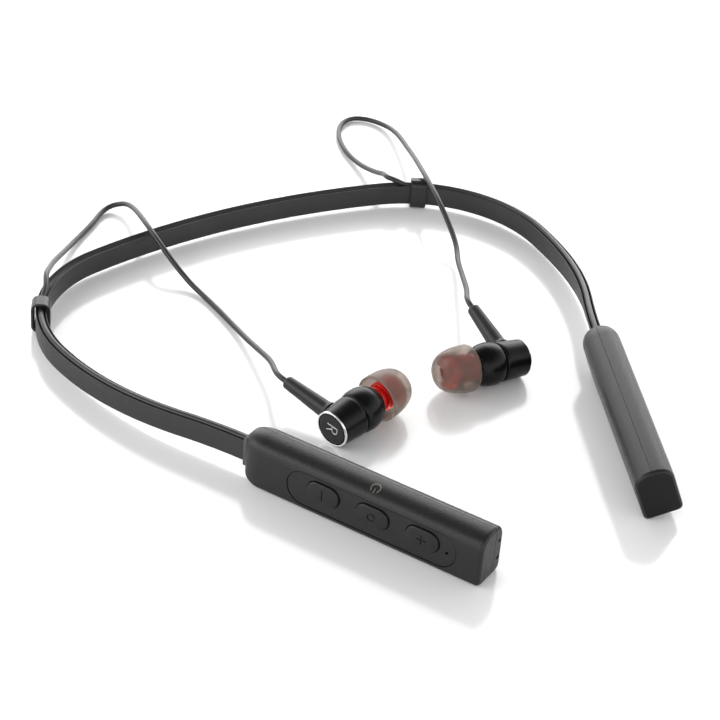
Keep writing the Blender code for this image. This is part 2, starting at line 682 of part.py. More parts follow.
def add_earbud(side, mats):
    label = SIDE_NAMES[side]
    out, back = BUD_PLACE[side]
    place = (out, back, bud_axis_height())
    frame = add_frame(f"{label}_bud_frame", place, (0.0, -BUD_TILT, BUD_HEADING[side]))

    disc = turned([(0.0, 4.1), (0.7, 4.1)])
    add_object(f"{label}_rear_disc", disc, mats["disc"], frame)
    trim = turned([(-0.1, 4.4), (-0.1, 4.8), (1.3, 4.85), (1.3, 3.4), (1.0, 3.4), (1.0, 4.4)], ring=True)
    add_object(f"{label}_trim_ring", trim, mats["silver"], frame)
    add_object(f"{label}_rear_housing", turned(rear_housing_profile(), ring=True), mats["gloss"], frame)
    add_object(f"{label}_front_housing", turned(front_housing_profile(), ring=True), mats["gloss"], frame)
    driver = turned([(8.3, 3.9), (11.0, 3.9), (11.0, 3.0), (12.4, 3.0)])
    add_object(f"{label}_driver", driver, mats["steel"], frame)
    add_object(f"{label}_nozzle", turned(nozzle_profile(), ring=True), mats["red"], frame)
    mesh_disc = turned([(20.3, 0.9), (20.7, 0.9)], sides=12)
    add_object(f"{label}_nozzle_mesh", mesh_disc, mats["steel"], frame)
    add_object(f"{label}_ear_tip", turned(ear_tip_profile(), ring=True), mats["silicone"], frame)
    add_stem(side, label, mats["rubber"], frame)
    return frame


def stem_direction(side):
    """Unit vector of the cord stem in the bud's frame: square to the bud's axis, towards +Y."""
    lift = math.radians(STEM_LIFT[side])
    toward_back = 1.0 if side == RIGHT else -1.0
    return Vector((0.0, toward_back * math.cos(lift), math.sin(lift)))


def add_stem(side, label, mat, frame):
    """The tapered strain relief, with a bore for the cord."""
    direction = stem_direction(side)
    across = Vector((1.0, 0.0, 0.0))
    up = direction.cross(across)
    base = Vector((STEM_AT, 0.0, 0.0))
    middle = ease(STEM_FROM, STEM_TO, 0.5)
    bore = CORD_RADIUS + GAP
    outer = ((STEM_FROM, 1.9), (STEM_FROM + 0.8, 2.2), (middle, 1.95), (STEM_TO - 0.6, 1.7), (STEM_TO, 1.35))
    profile = outer + ((STEM_TO, bore), (middle, bore), (STEM_FROM + 3.0, bore))
    rings = []
    for distance, radius in profile:
        rings.append([base + direction * distance + across * x + up * y for x, y in circle(radius, 12)])
    add_object(f"{label}_cord_relief", loft(rings), mat, frame)


# --- Cords -----------------------------------------------------------------------------------

def smooth_curve(points, spacing):
    """Evenly spaced points on a centripetal Catmull-Rom curve through the given points."""
    points = [Vector(point) for point in points]
    ends = [points[0] * 2 - points[1]] + points + [points[-1] * 2 - points[-2]]
    fine = []
    for p0, p1, p2, p3 in zip(ends, ends[1:], ends[2:], ends[3:]):
        t1 = (p1 - p0).length ** 0.5
        t2 = t1 + (p2 - p1).length ** 0.5
        t3 = t2 + (p3 - p2).length ** 0.5
        steps = 24
        for i in range(steps):
            t = t1 + (t2 - t1) * i / steps
            a1 = p0.lerp(p1, t / t1)
            a2 = p1.lerp(p2, (t - t1) / (t2 - t1))
            a3 = p2.lerp(p3, (t - t2) / (t3 - t2))
            b1 = a1.lerp(a2, t / t2)
            b2 = a2.lerp(a3, (t - t1) / (t3 - t1))
            fine.append(b1.lerp(b2, (t - t1) / (t2 - t1)))
    fine.append(points[-1])
    lengths = [0.0]
    for start, end in zip(fine, fine[1:]):
        lengths.append(lengths[-1] + (end - start).length)
    count = round(lengths[-1] / spacing)
    result = []
    index = 0
    for k in range(count + 1):
        target = lengths[-1] * k / count
        while index < len(fine) - 2 and lengths[index + 1] < target:
            index += 1
        share = (target - lengths[index]) / (lengths[index + 1] - lengths[index])
        result.append(fine[index].lerp(fine[index + 1], min(share, 1.0)))
    return result


def cord_route(side, bud_frame):
    """Route points: from inside the pod, along the strap's groove, free to the earbud's stem."""
    up = STRAP_HEIGHT - GROOVE_DROP
    start, end = ARM_LENGTH + CORD_IN_POD, LOOP_AT[side] - LOOP_LENGTH / 2
    count = math.ceil((start - end) / GROOVE_POINT_SPACING)
    held = [on_strap(side, ease(start, end, i / count), 0.0, up) for i in range(count + 1)]
    held += [on_strap(side, LOOP_AT[side] - ahead, out, above) for ahead, out, above in CORD_LEAVES[side]]
    free = [Vector(point) for point in CORD_ROUTES[side]]
    direction = stem_direction(side)
    base = Vector((STEM_AT, 0.0, 0.0))
    depth = (STEM_TO + 3.0, STEM_TO + 0.8, STEM_FROM + 7.0, STEM_FROM + 3.0 + GAP)
    inside = [bud_frame @ (base + direction * reach) for reach in depth]
    return held + free + inside


def add_cord(side, mat, bud):
    bud_frame = Matrix.Translation(bud.location / MM) @ bud.rotation_euler.to_matrix().to_4x4()
    points = smooth_curve(cord_route(side, bud_frame), CORD_SPACING)
    name = f"{SIDE_NAMES[side]}_cord"
    curve = bpy.data.curves.new(name, "CURVE")
    curve.dimensions = "3D"
    curve.bevel_depth = CORD_RADIUS * MM
    curve.bevel_resolution = 2
    curve.use_fill_caps = True
    spline = curve.splines.new("POLY")
    spline.points.add(len(points) - 1)
    for spline_point, point in zip(spline.points, points):
        spline_point.co = (*(point * MM), 1.0)
    curve.materials.append(mat)
    obj = bpy.data.objects.new(name, curve)
    bpy.context.scene.collection.objects.link(obj)


def main():
    clear_scene()
    mats = {
        "strap": material("strap_rubber", DARK_RUBBER, 0.55),
        "rubber": material("flap_rubber", DARK_RUBBER, 0.6),
        "pod": material("pod_plastic", POD_PLASTIC, 0.45),
        "panel": material("panel_plastic", POD_PLASTIC, 0.5),
        "button": material("button_plastic", POD_PLASTIC, 0.4),
        "gasket": material("gasket_rubber", GREY_RUBBER, 0.6),
        "steel": material("steel", STEEL, 0.3, 1.0),
        "silver": material("silver_trim", SILVER, 0.15, 1.0),
        "board": material("board", BOARD_GREEN, 0.5),
        "chip": material("chip", GLOSS_BLACK, 0.4),
        "cell": material("battery_wrap", CELL_WRAP, 0.4),
        "gloss": material("housing_gloss", GLOSS_BLACK, 0.2),
        "disc": material("disc_satin", POD_PLASTIC, 0.35, 0.5),
        "red": material("nozzle_red", NOZZLE_RED, 0.3),
        "silicone": material("tip_silicone", SMOKY_SILICONE, 0.3),
        "cord": material("cord_rubber", DARK_RUBBER, 0.5),
    }
    add_strap(mats["strap"], mats["steel"])
    for side in (RIGHT, LEFT):
        label = SIDE_NAMES[side]
        pod = add_pod_frame(side)
        add_slider_loop(side, mats["rubber"])
        add_pod_sleeve(side, f"{label}_strap_gasket", (-1.3, -0.3), 0.5, 0.5, mats["gasket"], pod)
        add_pod_sleeve(side, f"{label}_strap_anchor", (5.4, 7.6), 0.8, 0.7, mats["steel"], pod)
        if side == RIGHT:
            add_control_pod(mats, pod)
        else:
            add_battery_pod(mats, pod)
        bud = add_earbud(side, mats)
        add_cord(side, mats["cord"], bud)


main()
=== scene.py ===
"""Neckband earphones: the fine surfaces, materials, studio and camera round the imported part."""

import math

import bmesh
import bpy
from mathutils import Matrix, Vector


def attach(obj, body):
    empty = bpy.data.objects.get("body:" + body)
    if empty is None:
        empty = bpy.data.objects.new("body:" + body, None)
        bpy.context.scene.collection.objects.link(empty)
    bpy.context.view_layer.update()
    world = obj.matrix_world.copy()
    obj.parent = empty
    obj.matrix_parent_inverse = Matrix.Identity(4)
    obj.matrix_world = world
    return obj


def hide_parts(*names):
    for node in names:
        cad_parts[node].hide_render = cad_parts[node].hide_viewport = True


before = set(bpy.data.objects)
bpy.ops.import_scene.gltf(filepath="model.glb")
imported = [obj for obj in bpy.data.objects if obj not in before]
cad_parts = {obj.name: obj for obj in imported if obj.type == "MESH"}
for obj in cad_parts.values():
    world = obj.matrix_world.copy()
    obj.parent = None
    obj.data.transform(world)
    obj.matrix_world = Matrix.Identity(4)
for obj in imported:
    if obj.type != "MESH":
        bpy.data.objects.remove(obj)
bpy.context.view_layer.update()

MM = 0.001
RIGHT = -1
LEFT = 1
SIDE_NAMES = {RIGHT: "right", LEFT: "left"}
MAIN_BODY = "neckband"

# --- The part's dimensions, in millimetres -----------------------------------------------------
BACK_Y = 81.7
ARM_ARCS = ((204.0, 13.0), (37.2, 81.0), (95.0, 26.5), (-230.0, 5.0))
STRAP_THICK, STRAP_HEIGHT, STRAP_REST_Z = 2.8, 5.9, 1.15
STRAP_RISE_START, STRAP_INSERT = 100.0, 8.2
GROOVE_RADIUS, GROOVE_DROP = 1.05, 0.15
LOOP_AT = {RIGHT: 78.0, LEFT: 58.1}
LOOP_WALL, LOOP_LENGTH = 0.8, 4.6
POD_LENGTH, POD_HALF, POD_TOP = 65.5, 4.9, 13.4
POD_ARCH_BASE, POD_ARCH_POWER, POD_CORNER = 9.6, 2.3, 1.2
POD_NOSE, POD_NOSE_INSETS, POD_END_ROUND = 5.0, (2.4, 2.3, 1.2), 1.0
POD_WALL, POD_FLOOR_WALL = 1.7, 1.4
POD_LEAN = {RIGHT: 0.0, LEFT: 22.0}
POD_SPLIT = {RIGHT: -1.2, LEFT: 0.0}
SEAM = {RIGHT: 0.11, LEFT: 0.07}
ENTRY_Z = 6.3
GAP = 0.3
BEYOND = 2.0  # how far a cutter reaches past what it cuts
PANEL_FROM, PANEL_TO, PANEL_HEIGHT, PANEL_Z = 13.2, 58.9, 9.0, 6.0
PANEL_BACK, PANEL_FRONT, LEDGE_FRONT = 4.1, 4.75, 3.9
BUTTON_Z, BUTTON_LENGTH, BUTTON_HEIGHT = 6.9, 8.8, 5.4
BUTTON_AT = (("minus", 23.2), ("centre", 36.7), ("plus", 50.1))
BUTTON_FRONT = 5.45
BUTTON_GAP, BUTTON_ROUND, MARK_DEPTH = 0.18, 0.38, 0.22
MIC_AT, MIC_Z = 56.6, 5.8
PORT_AT, PORT_Z = 59.3, 6.5
FLAP_FROM, FLAP_HEIGHT, FLAP_BACK = 54.3, 3.8, -4.0
BUD_PLACE = {RIGHT: (-29.5, -20.7), LEFT: (31.8, -14.5)}
BUD_HEADING = {RIGHT: 16.5, LEFT: 179.0}
BUD_TILT = 4.5
BUD_HEIGHT = 4.848
STEM_LIFT = {RIGHT: 8.0, LEFT: 16.0}
STEM_AT, STEM_FROM, STEM_TO = 4.0, 5.6, 19.0
TIP_START, TIP_RADIUS = 16.5, 6.16
CORD_RADIUS = 0.75
CORD_IN_POD = 1.2
GROOVE_POINT_SPACING, CORD_SPACING = 6.0, 0.9
CORD_LEAVES = {
    RIGHT: ((3.5, 0.0, 5.8), (8.2, 0.1, 6.9), (13.0, 1.7, 7.4)),
    LEFT: ((4.0, 0.0, 5.77), (6.4, 0.1, 6.9), (8.8, 1.7, 7.4)),
}
CORD_ROUTES = {
    RIGHT: (
        (-60.0, 74.6, 6.8), (-56.3, 79.9, 4.9), (-47.6, 89.7, 1.7), (-40.8, 95.8, 0.9),
        (-34.8, 100.5, 0.9), (-30.0, 104.9, 0.9), (-26.2, 106.9, 1.4), (-23.0, 104.8, 2.6),
        (-23.4, 98.1, 4.8), (-25.8, 88.3, 7.4), (-27.5, 79.7, 8.4), (-27.8, 71.9, 7.0),
        (-26.9, 65.3, 4.2), (-25.7, 58.7, 1.7), (-24.9, 52.3, 0.9), (-24.8, 44.3, 0.9),
        (-25.2, 34.7, 1.2), (-26.1, 26.9, 2.3), (-27.3, 18.7, 4.1), (-28.8, 10.5, 6.1),
    ),
    LEFT: (
        (50.7, 81.9, 7.1), (51.5, 85.9, 5.4), (52.7, 93.1, 2.9), (53.6, 100.9, 1.3),
        (54.9, 109.8, 0.9), (58.8, 119.7, 0.9), (64.0, 125.7, 0.9), (69.0, 126.9, 0.9),
        (72.9, 123.7, 0.9), (74.8, 118.3, 1.2), (73.8, 110.8, 2.6), (68.1, 94.6, 5.4),
        (62.0, 80.9, 8.8), (57.4, 69.4, 10.4), (55.1, 62.2, 10.2), (53.4, 55.6, 9.0),
        (52.3, 49.7, 6.6), (50.0, 42.1, 4.2), (46.6, 36.3, 3.6), (38.8, 22.9, 7.0),
        (33.0, 12.9, 9.6),
    ),
}
CAMERA_ANGLES = (-34.757, 32.941, 5.046)
CAMERA_TARGET = (-2.559, BACK_Y - 72.947, 0.0)
CAMERA_DISTANCE, CAMERA_LENS, CAMERA_SENSOR = 553.271, 106.229, 36.0


# --- Camera ------------------------------------------------------------------------------------

def add_camera():
    """The photograph's view: azimuth and elevation of the line of sight, and its roll."""
    azimuth, elevation, roll = (math.radians(angle) for angle in CAMERA_ANGLES)
    back = Vector((math.sin(azimuth) * math.cos(elevation),
                   -math.cos(azimuth) * math.cos(elevation), math.sin(elevation)))
    level = Vector((math.cos(azimuth), math.sin(azimuth), 0.0))
    upright = back.cross(level)
    right = level * math.cos(roll) + upright * math.sin(roll)
    up = upright * math.cos(roll) - level * math.sin(roll)
    data = bpy.data.cameras.new("camera")
    data.sensor_width = CAMERA_SENSOR
    data.lens = CAMERA_LENS
    data.clip_start = 0.01
    data.clip_end = 20.0
    camera = bpy.data.objects.new("camera", data)
    bpy.context.scene.collection.objects.link(camera)
    place = Matrix((right, up, back)).transposed().to_4x4()
    place.translation = Vector(CAMERA_TARGET) * MM + back * CAMERA_DISTANCE * MM
    camera.matrix_world = place
    bpy.context.scene.camera = camera


# --- Mesh helpers ------------------------------------------------------------------------------

def metres(matrix):
    """A placement in millimetres as one in metres."""
    result = matrix.copy()
    result.translation = matrix.translation * MM
    return result


def make_object(name, bm, matrix=None):
    """A bmesh in millimetres as an object, placed by a matrix in millimetres."""
    bmesh.ops.recalc_face_normals(bm, faces=bm.faces)
    bmesh.ops.scale(bm, vec=(MM, MM, MM), verts=bm.verts)
    mesh = bpy.data.meshes.new(name)
    bm.to_mesh(mesh)
    bm.free()
    obj = bpy.data.objects.new(name, mesh)
    bpy.context.scene.collection.objects.link(obj)
    if matrix is not None:
        obj.matrix_world = metres(matrix)
    return obj


def bake_modifiers(obj):
    """Put the evaluated mesh in place of the modifiers."""
    bpy.context.view_layer.update()
    graph = bpy.context.evaluated_depsgraph_get()
    mesh = bpy.data.meshes.new_from_object(obj.evaluated_get(graph))
    obj.modifiers.clear()
    old = obj.data
    obj.data = mesh
    mesh.name = obj.name
    bpy.data.meshes.remove(old)


def carve(obj, cutters, operation="DIFFERENCE"):
    """Cut an object with bmeshes that stand in its own frame."""
    for index, bm in enumerate(cutters):
        cutter = make_object(f"cutter_{index}", bm)
        cutter.matrix_world = obj.matrix_world
        modifier = obj.modifiers.new("carve", "BOOLEAN")
        modifier.operation = operation
        modifier.object = cutter
        bake_modifiers(obj)
        bpy.data.objects.remove(cutter, do_unlink=True)


def finish_piece(obj, mat, body=MAIN_BODY, nodes=(), bevel=0.0, segments=2, angle=35.0):
    """Soften the edges, shade, give the material and ride the piece on its body."""
    mesh = obj.data
    mesh.materials.clear()
    mesh.materials.append(mat)
    if bevel:
        modifier = obj.modifiers.new("edges", "BEVEL")
        modifier.width = bevel * MM
        modifier.segments = segments
        modifier.limit_method = "ANGLE"
        modifier.angle_limit = math.radians(38.0)
        modifier.miter_outer = "MITER_ARC"
        modifier.use_clamp_overlap = True
        bake_modifiers(obj)
        mesh = obj.data
    mesh.shade_smooth()
    mesh.set_sharp_from_angle(angle=math.radians(angle))
    if bevel:
        modifier = obj.modifiers.new("normals", "WEIGHTED_NORMAL")
        modifier.keep_sharp = True
        modifier.weight = 60
    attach(obj, body)
    if nodes:
        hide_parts(*nodes)


def skin_rings(bm, rings, wrap=False):
    """Faces between rings of equal count; wrap joins the last ring to the first."""
    loops = [[bm.verts.new(point) for point in ring] for ring in rings]
    count = len(loops[0])
    pairs = list(zip(loops, loops[1:]))
    if wrap:
        pairs.append((loops[-1], loops[0]))
    for low, high in pairs:
        for i in range(count):
            j = (i + 1) % count
            bm.faces.new((low[i], low[j], high[j], high[i]))
    return loops[0], loops[-1]


def loft(rings):
    """Rings joined in order, with both ends capped."""
    bm = bmesh.new()
    first, last = skin_rings(bm, rings)
    bm.faces.new(first)
    bm.faces.new(last)
    return bm


def box(low, high):
    corners = [(low[0], low[1]), (high[0], low[1]), (high[0], high[1]), (low[0], high[1])]
    return loft([[Vector((x, y, z)) for x, y in corners] for z in (low[2], high[2])])


def circle(radius, sides):
    turns = [2 * math.pi * i / sides for i in range(sides)]
    return [(radius * math.cos(turn), radius * math.sin(turn)) for turn in turns]


def stadium(length, height, steps=20):
    """A bar with round ends."""
    radius = height / 2
    straight = length / 2 - radius
    points = []
    for sign, start in ((1, -90), (-1, 90)):
        for i in range(steps + 1):
            angle = math.radians(start + 180.0 * i / steps)
            points.append((sign * straight + radius * math.cos(angle), radius * math.sin(angle)))
    return points


def rounded_rectangle(half_wide, low, high, radius, steps=6):
    points = []
    for sign, edge, start in ((1, high, 0), (-1, high, 90), (-1, low, 180), (1, low, 270)):
        up_sign = 1 if edge == high else -1
        for i in range(steps + 1):
            angle = math.radians(start + 90.0 * i / steps)
            points.append((sign * (half_wide - radius) + radius * math.cos(angle),
                           edge - up_sign * radius + radius * math.sin(angle)))
    return points


def soften(profile, radius, steps=4):
    """Round each corner of a closed profile."""
    points = []
    count = len(profile)
    for i, corner in enumerate(profile):
        here = Vector(corner)
        before, after = Vector(profile[i - 1]), Vector(profile[(i + 1) % count])
        start = here.lerp(before, min(0.48, radius / max((before - here).length, 1e-6)))
        end = here.lerp(after, min(0.48, radius / max((after - here).length, 1e-6)))
        for k in range(steps + 1):
            t = k / steps
            points.append(tuple(start * (1 - t) ** 2 + here * 2 * t * (1 - t) + end * t * t))
    return points


def turned(profile, sides=96):
    """Revolve a closed loop of (along, radius) points about X."""
    bm = bmesh.new()
    rings = [[Vector((along, y, z)) for y, z in circle(radius, sides)] for along, radius in profile]
    skin_rings(bm, rings, wrap=True)
    return bm


def turned_solid(profile):
    """Revolve an open (along, radius) line about X and cap both ends."""
    return loft([[Vector((along, y, z)) for y, z in circle(radius, 96)] for along, radius in profile])


def ease(start, end, share):
    return start + (end - start) * share


# --- Strap route and pod frames ----------------------------------------------------------------

ARM_LENGTH = sum(abs(radius) * math.radians(turn) for radius, turn in ARM_ARCS)


def arm_plan(distance):
    """Where an arm has got to in plan, and its heading from straight out."""
    out, back, heading = 0.0, BACK_Y, 0.0
    left_over = distance
    for radius, turn in ARM_ARCS:
        length = min(left_over, abs(radius) * math.radians(turn))
        swept = length / radius
        out += radius * (math.sin(heading + swept) - math.sin(heading))
        back += radius * (math.cos(heading + swept) - math.cos(heading))
        heading += swept
        left_over -= length
    return out + left_over * math.cos(heading), back - left_over * math.sin(heading), heading


END_OUT, END_BACK, END_HEADING = arm_plan(ARM_LENGTH)
POD_TOE = math.degrees(END_HEADING) - 90.0


def rise(distance):
    """How much of the lift and lean towards the pod the strap has there, from 0 to 1."""
    share = min(max((distance - STRAP_RISE_START) / (ARM_LENGTH - STRAP_RISE_START), 0.0), 1.0)
    return share * share * (3.0 - 2.0 * share)


def pod_section(side, along, insets=(0.0, 0.0, 0.0), wall=0.0, floor_wall=0.0, arch_steps=40, corner_steps=6):
    wide, low, top = insets
    half = POD_HALF - wide - wall
    low += floor_wall
    arch = POD_TOP - top - floor_wall - POD_ARCH_BASE
    points = []
    for i in range(corner_steps + 1):
        angle = math.radians(-90.0 + 90.0 * i / corner_steps)
        points.append((half - POD_CORNER * (1.0 - math.cos(angle)),
                       low + POD_CORNER * (1.0 + math.sin(angle))))
    power = 2.0 / POD_ARCH_POWER
    for i in range(1, arch_steps):
        angle = math.pi * i / arch_steps
        across = math.copysign(abs(math.cos(angle)) ** power, math.cos(angle))
        points.append((half * across, POD_ARCH_BASE + arch * math.sin(angle) ** power))
    points += [(-across, up) for across, up in reversed(points[:corner_steps + 1])]
    return [Vector((side * across, -along, up)) for across, up in points]


def pod_matrix(side):
    lean = Matrix.Rotation(math.radians(-side * POD_LEAN[side]), 4, "Y")
    coarse = pod_section(side, 0.0, arch_steps=10, corner_steps=2)
    lift = -min((lean @ point).z for point in coarse)
    turn = Matrix.Rotation(math.radians(-side * POD_TOE), 4, "Z")
    outward = turn @ Vector((side, 0.0, 0.0))
    shift = ENTRY_Z * math.sin(math.radians(POD_LEAN[side]))
    place = Vector((side * END_OUT, END_BACK, lift)) + outward * shift
    return Matrix.Translation(place) @ turn @ lean


POD_FRAMES = {side: pod_matrix(side) for side in (RIGHT, LEFT)}


def strap_frame(side, distance):
    """The strap section's centre, its outward direction and its own up."""
    out, back, heading = arm_plan(distance)
    outward = Vector((side * math.sin(heading), math.cos(heading), 0.0))
    lean = math.radians(POD_LEAN[side]) * rise(distance)
    entry = POD_FRAMES[side] @ Vector((0.0, 0.0, ENTRY_Z))
    rest = STRAP_REST_Z + STRAP_HEIGHT / 2
    centre = Vector((side * out, back, rest + (entry.z - rest) * rise(distance)))
    across = outward * math.cos(lean) + Vector((0, 0, math.sin(lean)))
    up = Vector((0, 0, math.cos(lean))) - outward * math.sin(lean)
    return centre, across, up


def on_strap(side, distance, across, up):
    centre, across_unit, up_unit = strap_frame(side, distance)
    return centre + across_unit * across + up_unit * (up - STRAP_HEIGHT / 2)


def bud_matrix(side):
    out, back = BUD_PLACE[side]
    turn = Matrix.Rotation(math.radians(BUD_HEADING[side]), 4, "Z")
    tilt = Matrix.Rotation(math.radians(-BUD_TILT), 4, "Y")
    return Matrix.Translation(Vector((out, back, BUD_HEIGHT))) @ turn @ tilt


def stem_direction(side):
    lift = math.radians(STEM_LIFT[side])
    return Vector((0.0, (1.0 if side == RIGHT else -1.0) * math.cos(lift), math.sin(lift)))


# --- Cords -------------------------------------------------------------------------------------

def smooth_curve(points, spacing):
    """A centripetal Catmull-Rom curve through the points, read at even steps."""
    points = [Vector(point) for point in points]
    ends = [points[0] * 2 - points[1]] + points + [points[-1] * 2 - points[-2]]
    fine = []
    for p0, p1, p2, p3 in zip(ends, ends[1:], ends[2:], ends[3:]):
        t1 = (p1 - p0).length ** 0.5
        t2 = t1 + (p2 - p1).length ** 0.5
        t3 = t2 + (p3 - p2).length ** 0.5
        for i in range(24):
            t = t1 + (t2 - t1) * i / 24
            a1 = p0.lerp(p1, t / t1)
            a2 = p1.lerp(p2, (t - t1) / (t2 - t1))
            a3 = p2.lerp(p3, (t - t2) / (t3 - t2))
            b1 = a1.lerp(a2, t / t2)
            b2 = a2.lerp(a3, (t - t1) / (t3 - t1))
            fine.append(b1.lerp(b2, (t - t1) / (t2 - t1)))
    fine.append(points[-1])
    lengths = [0.0]
    for start, end in zip(fine, fine[1:]):
        lengths.append(lengths[-1] + (end - start).length)
    count = round(lengths[-1] / spacing)
    result, index = [], 0
    for k in range(count + 1):
        target = lengths[-1] * k / count
        while index < len(fine) - 2 and lengths[index + 1] < target:
            index += 1
        share = (target - lengths[index]) / max(lengths[index + 1] - lengths[index], 1e-9)
        result.append(fine[index].lerp(fine[index + 1], min(share, 1.0)))
    return result


def relax(points, first, last, rounds=10):
    """Even out small kinks between two places on the cord, fading in and out."""
    for _ in range(rounds):
        moved = list(points)
        for i in range(first, last):
            weight = 0.5 * min(1.0, (i - first) / 5.0, (last - i) / 4.0)
            moved[i] = points[i].lerp((points[i - 1] + points[i + 1]) / 2, weight)
        points = moved
    return points


def add_cord(side, mat):
    """The cord from the pod, along the groove, through the loop and free to the stem."""
    name = SIDE_NAMES[side]
    up = STRAP_HEIGHT - GROOVE_DROP
    start, end = ARM_LENGTH + CORD_IN_POD, LOOP_AT[side] - LOOP_LENGTH / 2
    count = math.ceil((start - end) / GROOVE_POINT_SPACING)
    held = [on_strap(side, ease(start, end, i / count), 0.0, up) for i in range(count + 1)]
    held += [on_strap(side, LOOP_AT[side] - ahead, out, above) for ahead, out, above in CORD_LEAVES[side]]
    bud = bud_matrix(side)
    depth = (STEM_TO + 3.0, STEM_TO + 0.8, STEM_FROM + 7.0, STEM_FROM + 3.3)
    inside = [bud @ (Vector((STEM_AT, 0, 0)) + stem_direction(side) * reach) for reach in depth]
    free = [Vector(point) for point in CORD_ROUTES[side]]
    points = smooth_curve(held + free + inside, CORD_SPACING)
    first = min(range(len(points)), key=lambda i: (points[i] - free[0]).length)
    mouth = min(range(len(points)), key=lambda i: (points[i] - inside[1]).length)
    points = relax(points, first, mouth)
    curve = bpy.data.curves.new(f"{name}_cord_line", "CURVE")
    curve.dimensions = "3D"
    curve.bevel_depth = CORD_RADIUS * MM
    curve.bevel_resolution = 6
    curve.use_fill_caps = True
    spline = curve.splines.new("POLY")
    spline.points.add(len(points) - 1)
    for spline_point, point in zip(spline.points, points):
        spline_point.co = (*(point * MM), 1.0)
    spline.use_smooth = True
    curve.materials.append(mat)
    obj = bpy.data.objects.new(f"{name}_cord_line", curve)
    bpy.context.scene.collection.objects.link(obj)
    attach(obj, MAIN_BODY)
    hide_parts(f"{name}_cord")


# --- Materials ---------------------------------------------------------------------------------

def base_material(name, colour, roughness, **sockets):
    mat = bpy.data.materials.new(name)
    mat.use_nodes = True
    shader = mat.node_tree.nodes["Principled BSDF"]
    shader.inputs["Base Color"].default_value = (*colour, 1.0)
    shader.inputs["Roughness"].default_value = roughness
    for socket, value in sockets.items():
        shader.inputs[socket.replace("_", " ")].default_value = value
    return mat, mat.node_tree, shader


def noise(tree, vector, scale, detail=2.0):
    node = tree.nodes.new("ShaderNodeTexNoise")
    node.inputs["Scale"].default_value = scale
    node.inputs["Detail"].default_value = detail
    tree.links.new(vector, node.inputs["Vector"])
    return node.outputs["Fac"]


def colour_ramp(tree, value, low, high, ends=(0.0, 1.0)):
    node = tree.nodes.new("ShaderNodeValToRGB")
    for stop, end, colour in zip(node.color_ramp.elements, ends, (low, high)):
        stop.position = end
        stop.color = (*colour, 1.0)
    tree.links.new(value, node.inputs["Fac"])
    return node.outputs["Color"]


def map_range(tree, value, source, target):
    node = tree.nodes.new("ShaderNodeMapRange")
    for socket, number in zip(("From Min", "From Max", "To Min", "To Max"), (*source, *target)):
        node.inputs[socket].default_value = number
    tree.links.new(value, node.inputs["Value"])
    return node.outputs["Result"]


def relief(tree, shader, height, strength, distance):
    node = tree.nodes.new("ShaderNodeBump")
    node.inputs["Strength"].default_value = strength
    node.inputs["Distance"].default_value = distance
    tree.links.new(height, node.inputs["Height"])
    tree.links.new(node.outputs["Normal"], shader.inputs["Normal"])


def scaled(colour, factor):
    return [min(1.0, channel * factor) for channel in colour]


def textured(name, colour, roughness, grain=4000.0, bump=0.05, mottle=220.0, spread=0.12, rough_spread=0.08,
             stretch=(1.0, 1.0, 1.0), **sockets):
    """A surface with a fine grain, a broad slight mottle in colour and uneven gloss."""
    mat, tree, shader = base_material(name, colour, roughness, **sockets)
    place = tree.nodes.new("ShaderNodeTexCoord")
    mapping = tree.nodes.new("ShaderNodeMapping")
    mapping.inputs["Scale"].default_value = stretch
    tree.links.new(place.outputs["Object"], mapping.inputs["Vector"])
    broad = noise(tree, mapping.outputs["Vector"], mottle, 5.0)
    fine = noise(tree, mapping.outputs["Vector"], grain)
    tint = colour_ramp(tree, broad, scaled(colour, 1 - spread), scaled(colour, 1 + spread), (0.3, 0.7))
    tree.links.new(tint, shader.inputs["Base Color"])
    gloss = map_range(tree, fine, (0.3, 0.7), (roughness - rough_spread, roughness + rough_spread))
    tree.links.new(gloss, shader.inputs["Roughness"])
    relief(tree, shader, fine, bump, 0.0001)
    return mat


def brushed_disc(name, colour):
    """Fine turned lines round the X axis."""
    mat, tree, shader = base_material(name, colour, 0.38, Metallic=0.3, Specular_IOR_Level=0.3)
    place = tree.nodes.new("ShaderNodeTexCoord")
    wave = tree.nodes.new("ShaderNodeTexWave")
    wave.wave_type = "RINGS"
    wave.rings_direction = "X"
    wave.inputs["Scale"].default_value = 1500.0
    wave.inputs["Distortion"].default_value = 0.4
    wave.inputs["Detail"].default_value = 1.0
    tree.links.new(place.outputs["Object"], wave.inputs["Vector"])
    tint = colour_ramp(tree, wave.outputs["Fac"], scaled(colour, 0.75), scaled(colour, 1.3))
    tree.links.new(tint, shader.inputs["Base Color"])
    relief(tree, shader, wave.outputs["Fac"], 0.35, 0.00005)
    return mat


def board_material():
    """Green solder mask with pale tracks and pads."""
    mat, tree, shader = base_material("board_mask", (0.02, 0.10, 0.05), 0.35)
    nodes, links = tree.nodes, tree.links
    place = nodes.new("ShaderNodeTexCoord")
    brick = nodes.new("ShaderNodeTexBrick")
    brick.inputs["Scale"].default_value = 420.0
    brick.inputs["Mortar Size"].default_value = 0.04
    brick.inputs["Color1"].default_value = (0.015, 0.09, 0.045, 1.0)
    brick.inputs["Color2"].default_value = (0.02, 0.11, 0.06, 1.0)
    brick.inputs["Mortar"].default_value = (0.10, 0.24, 0.12, 1.0)
    links.new(place.outputs["Object"], brick.inputs["Vector"])
    links.new(brick.outputs["Color"], shader.inputs["Base Color"])
    return mat


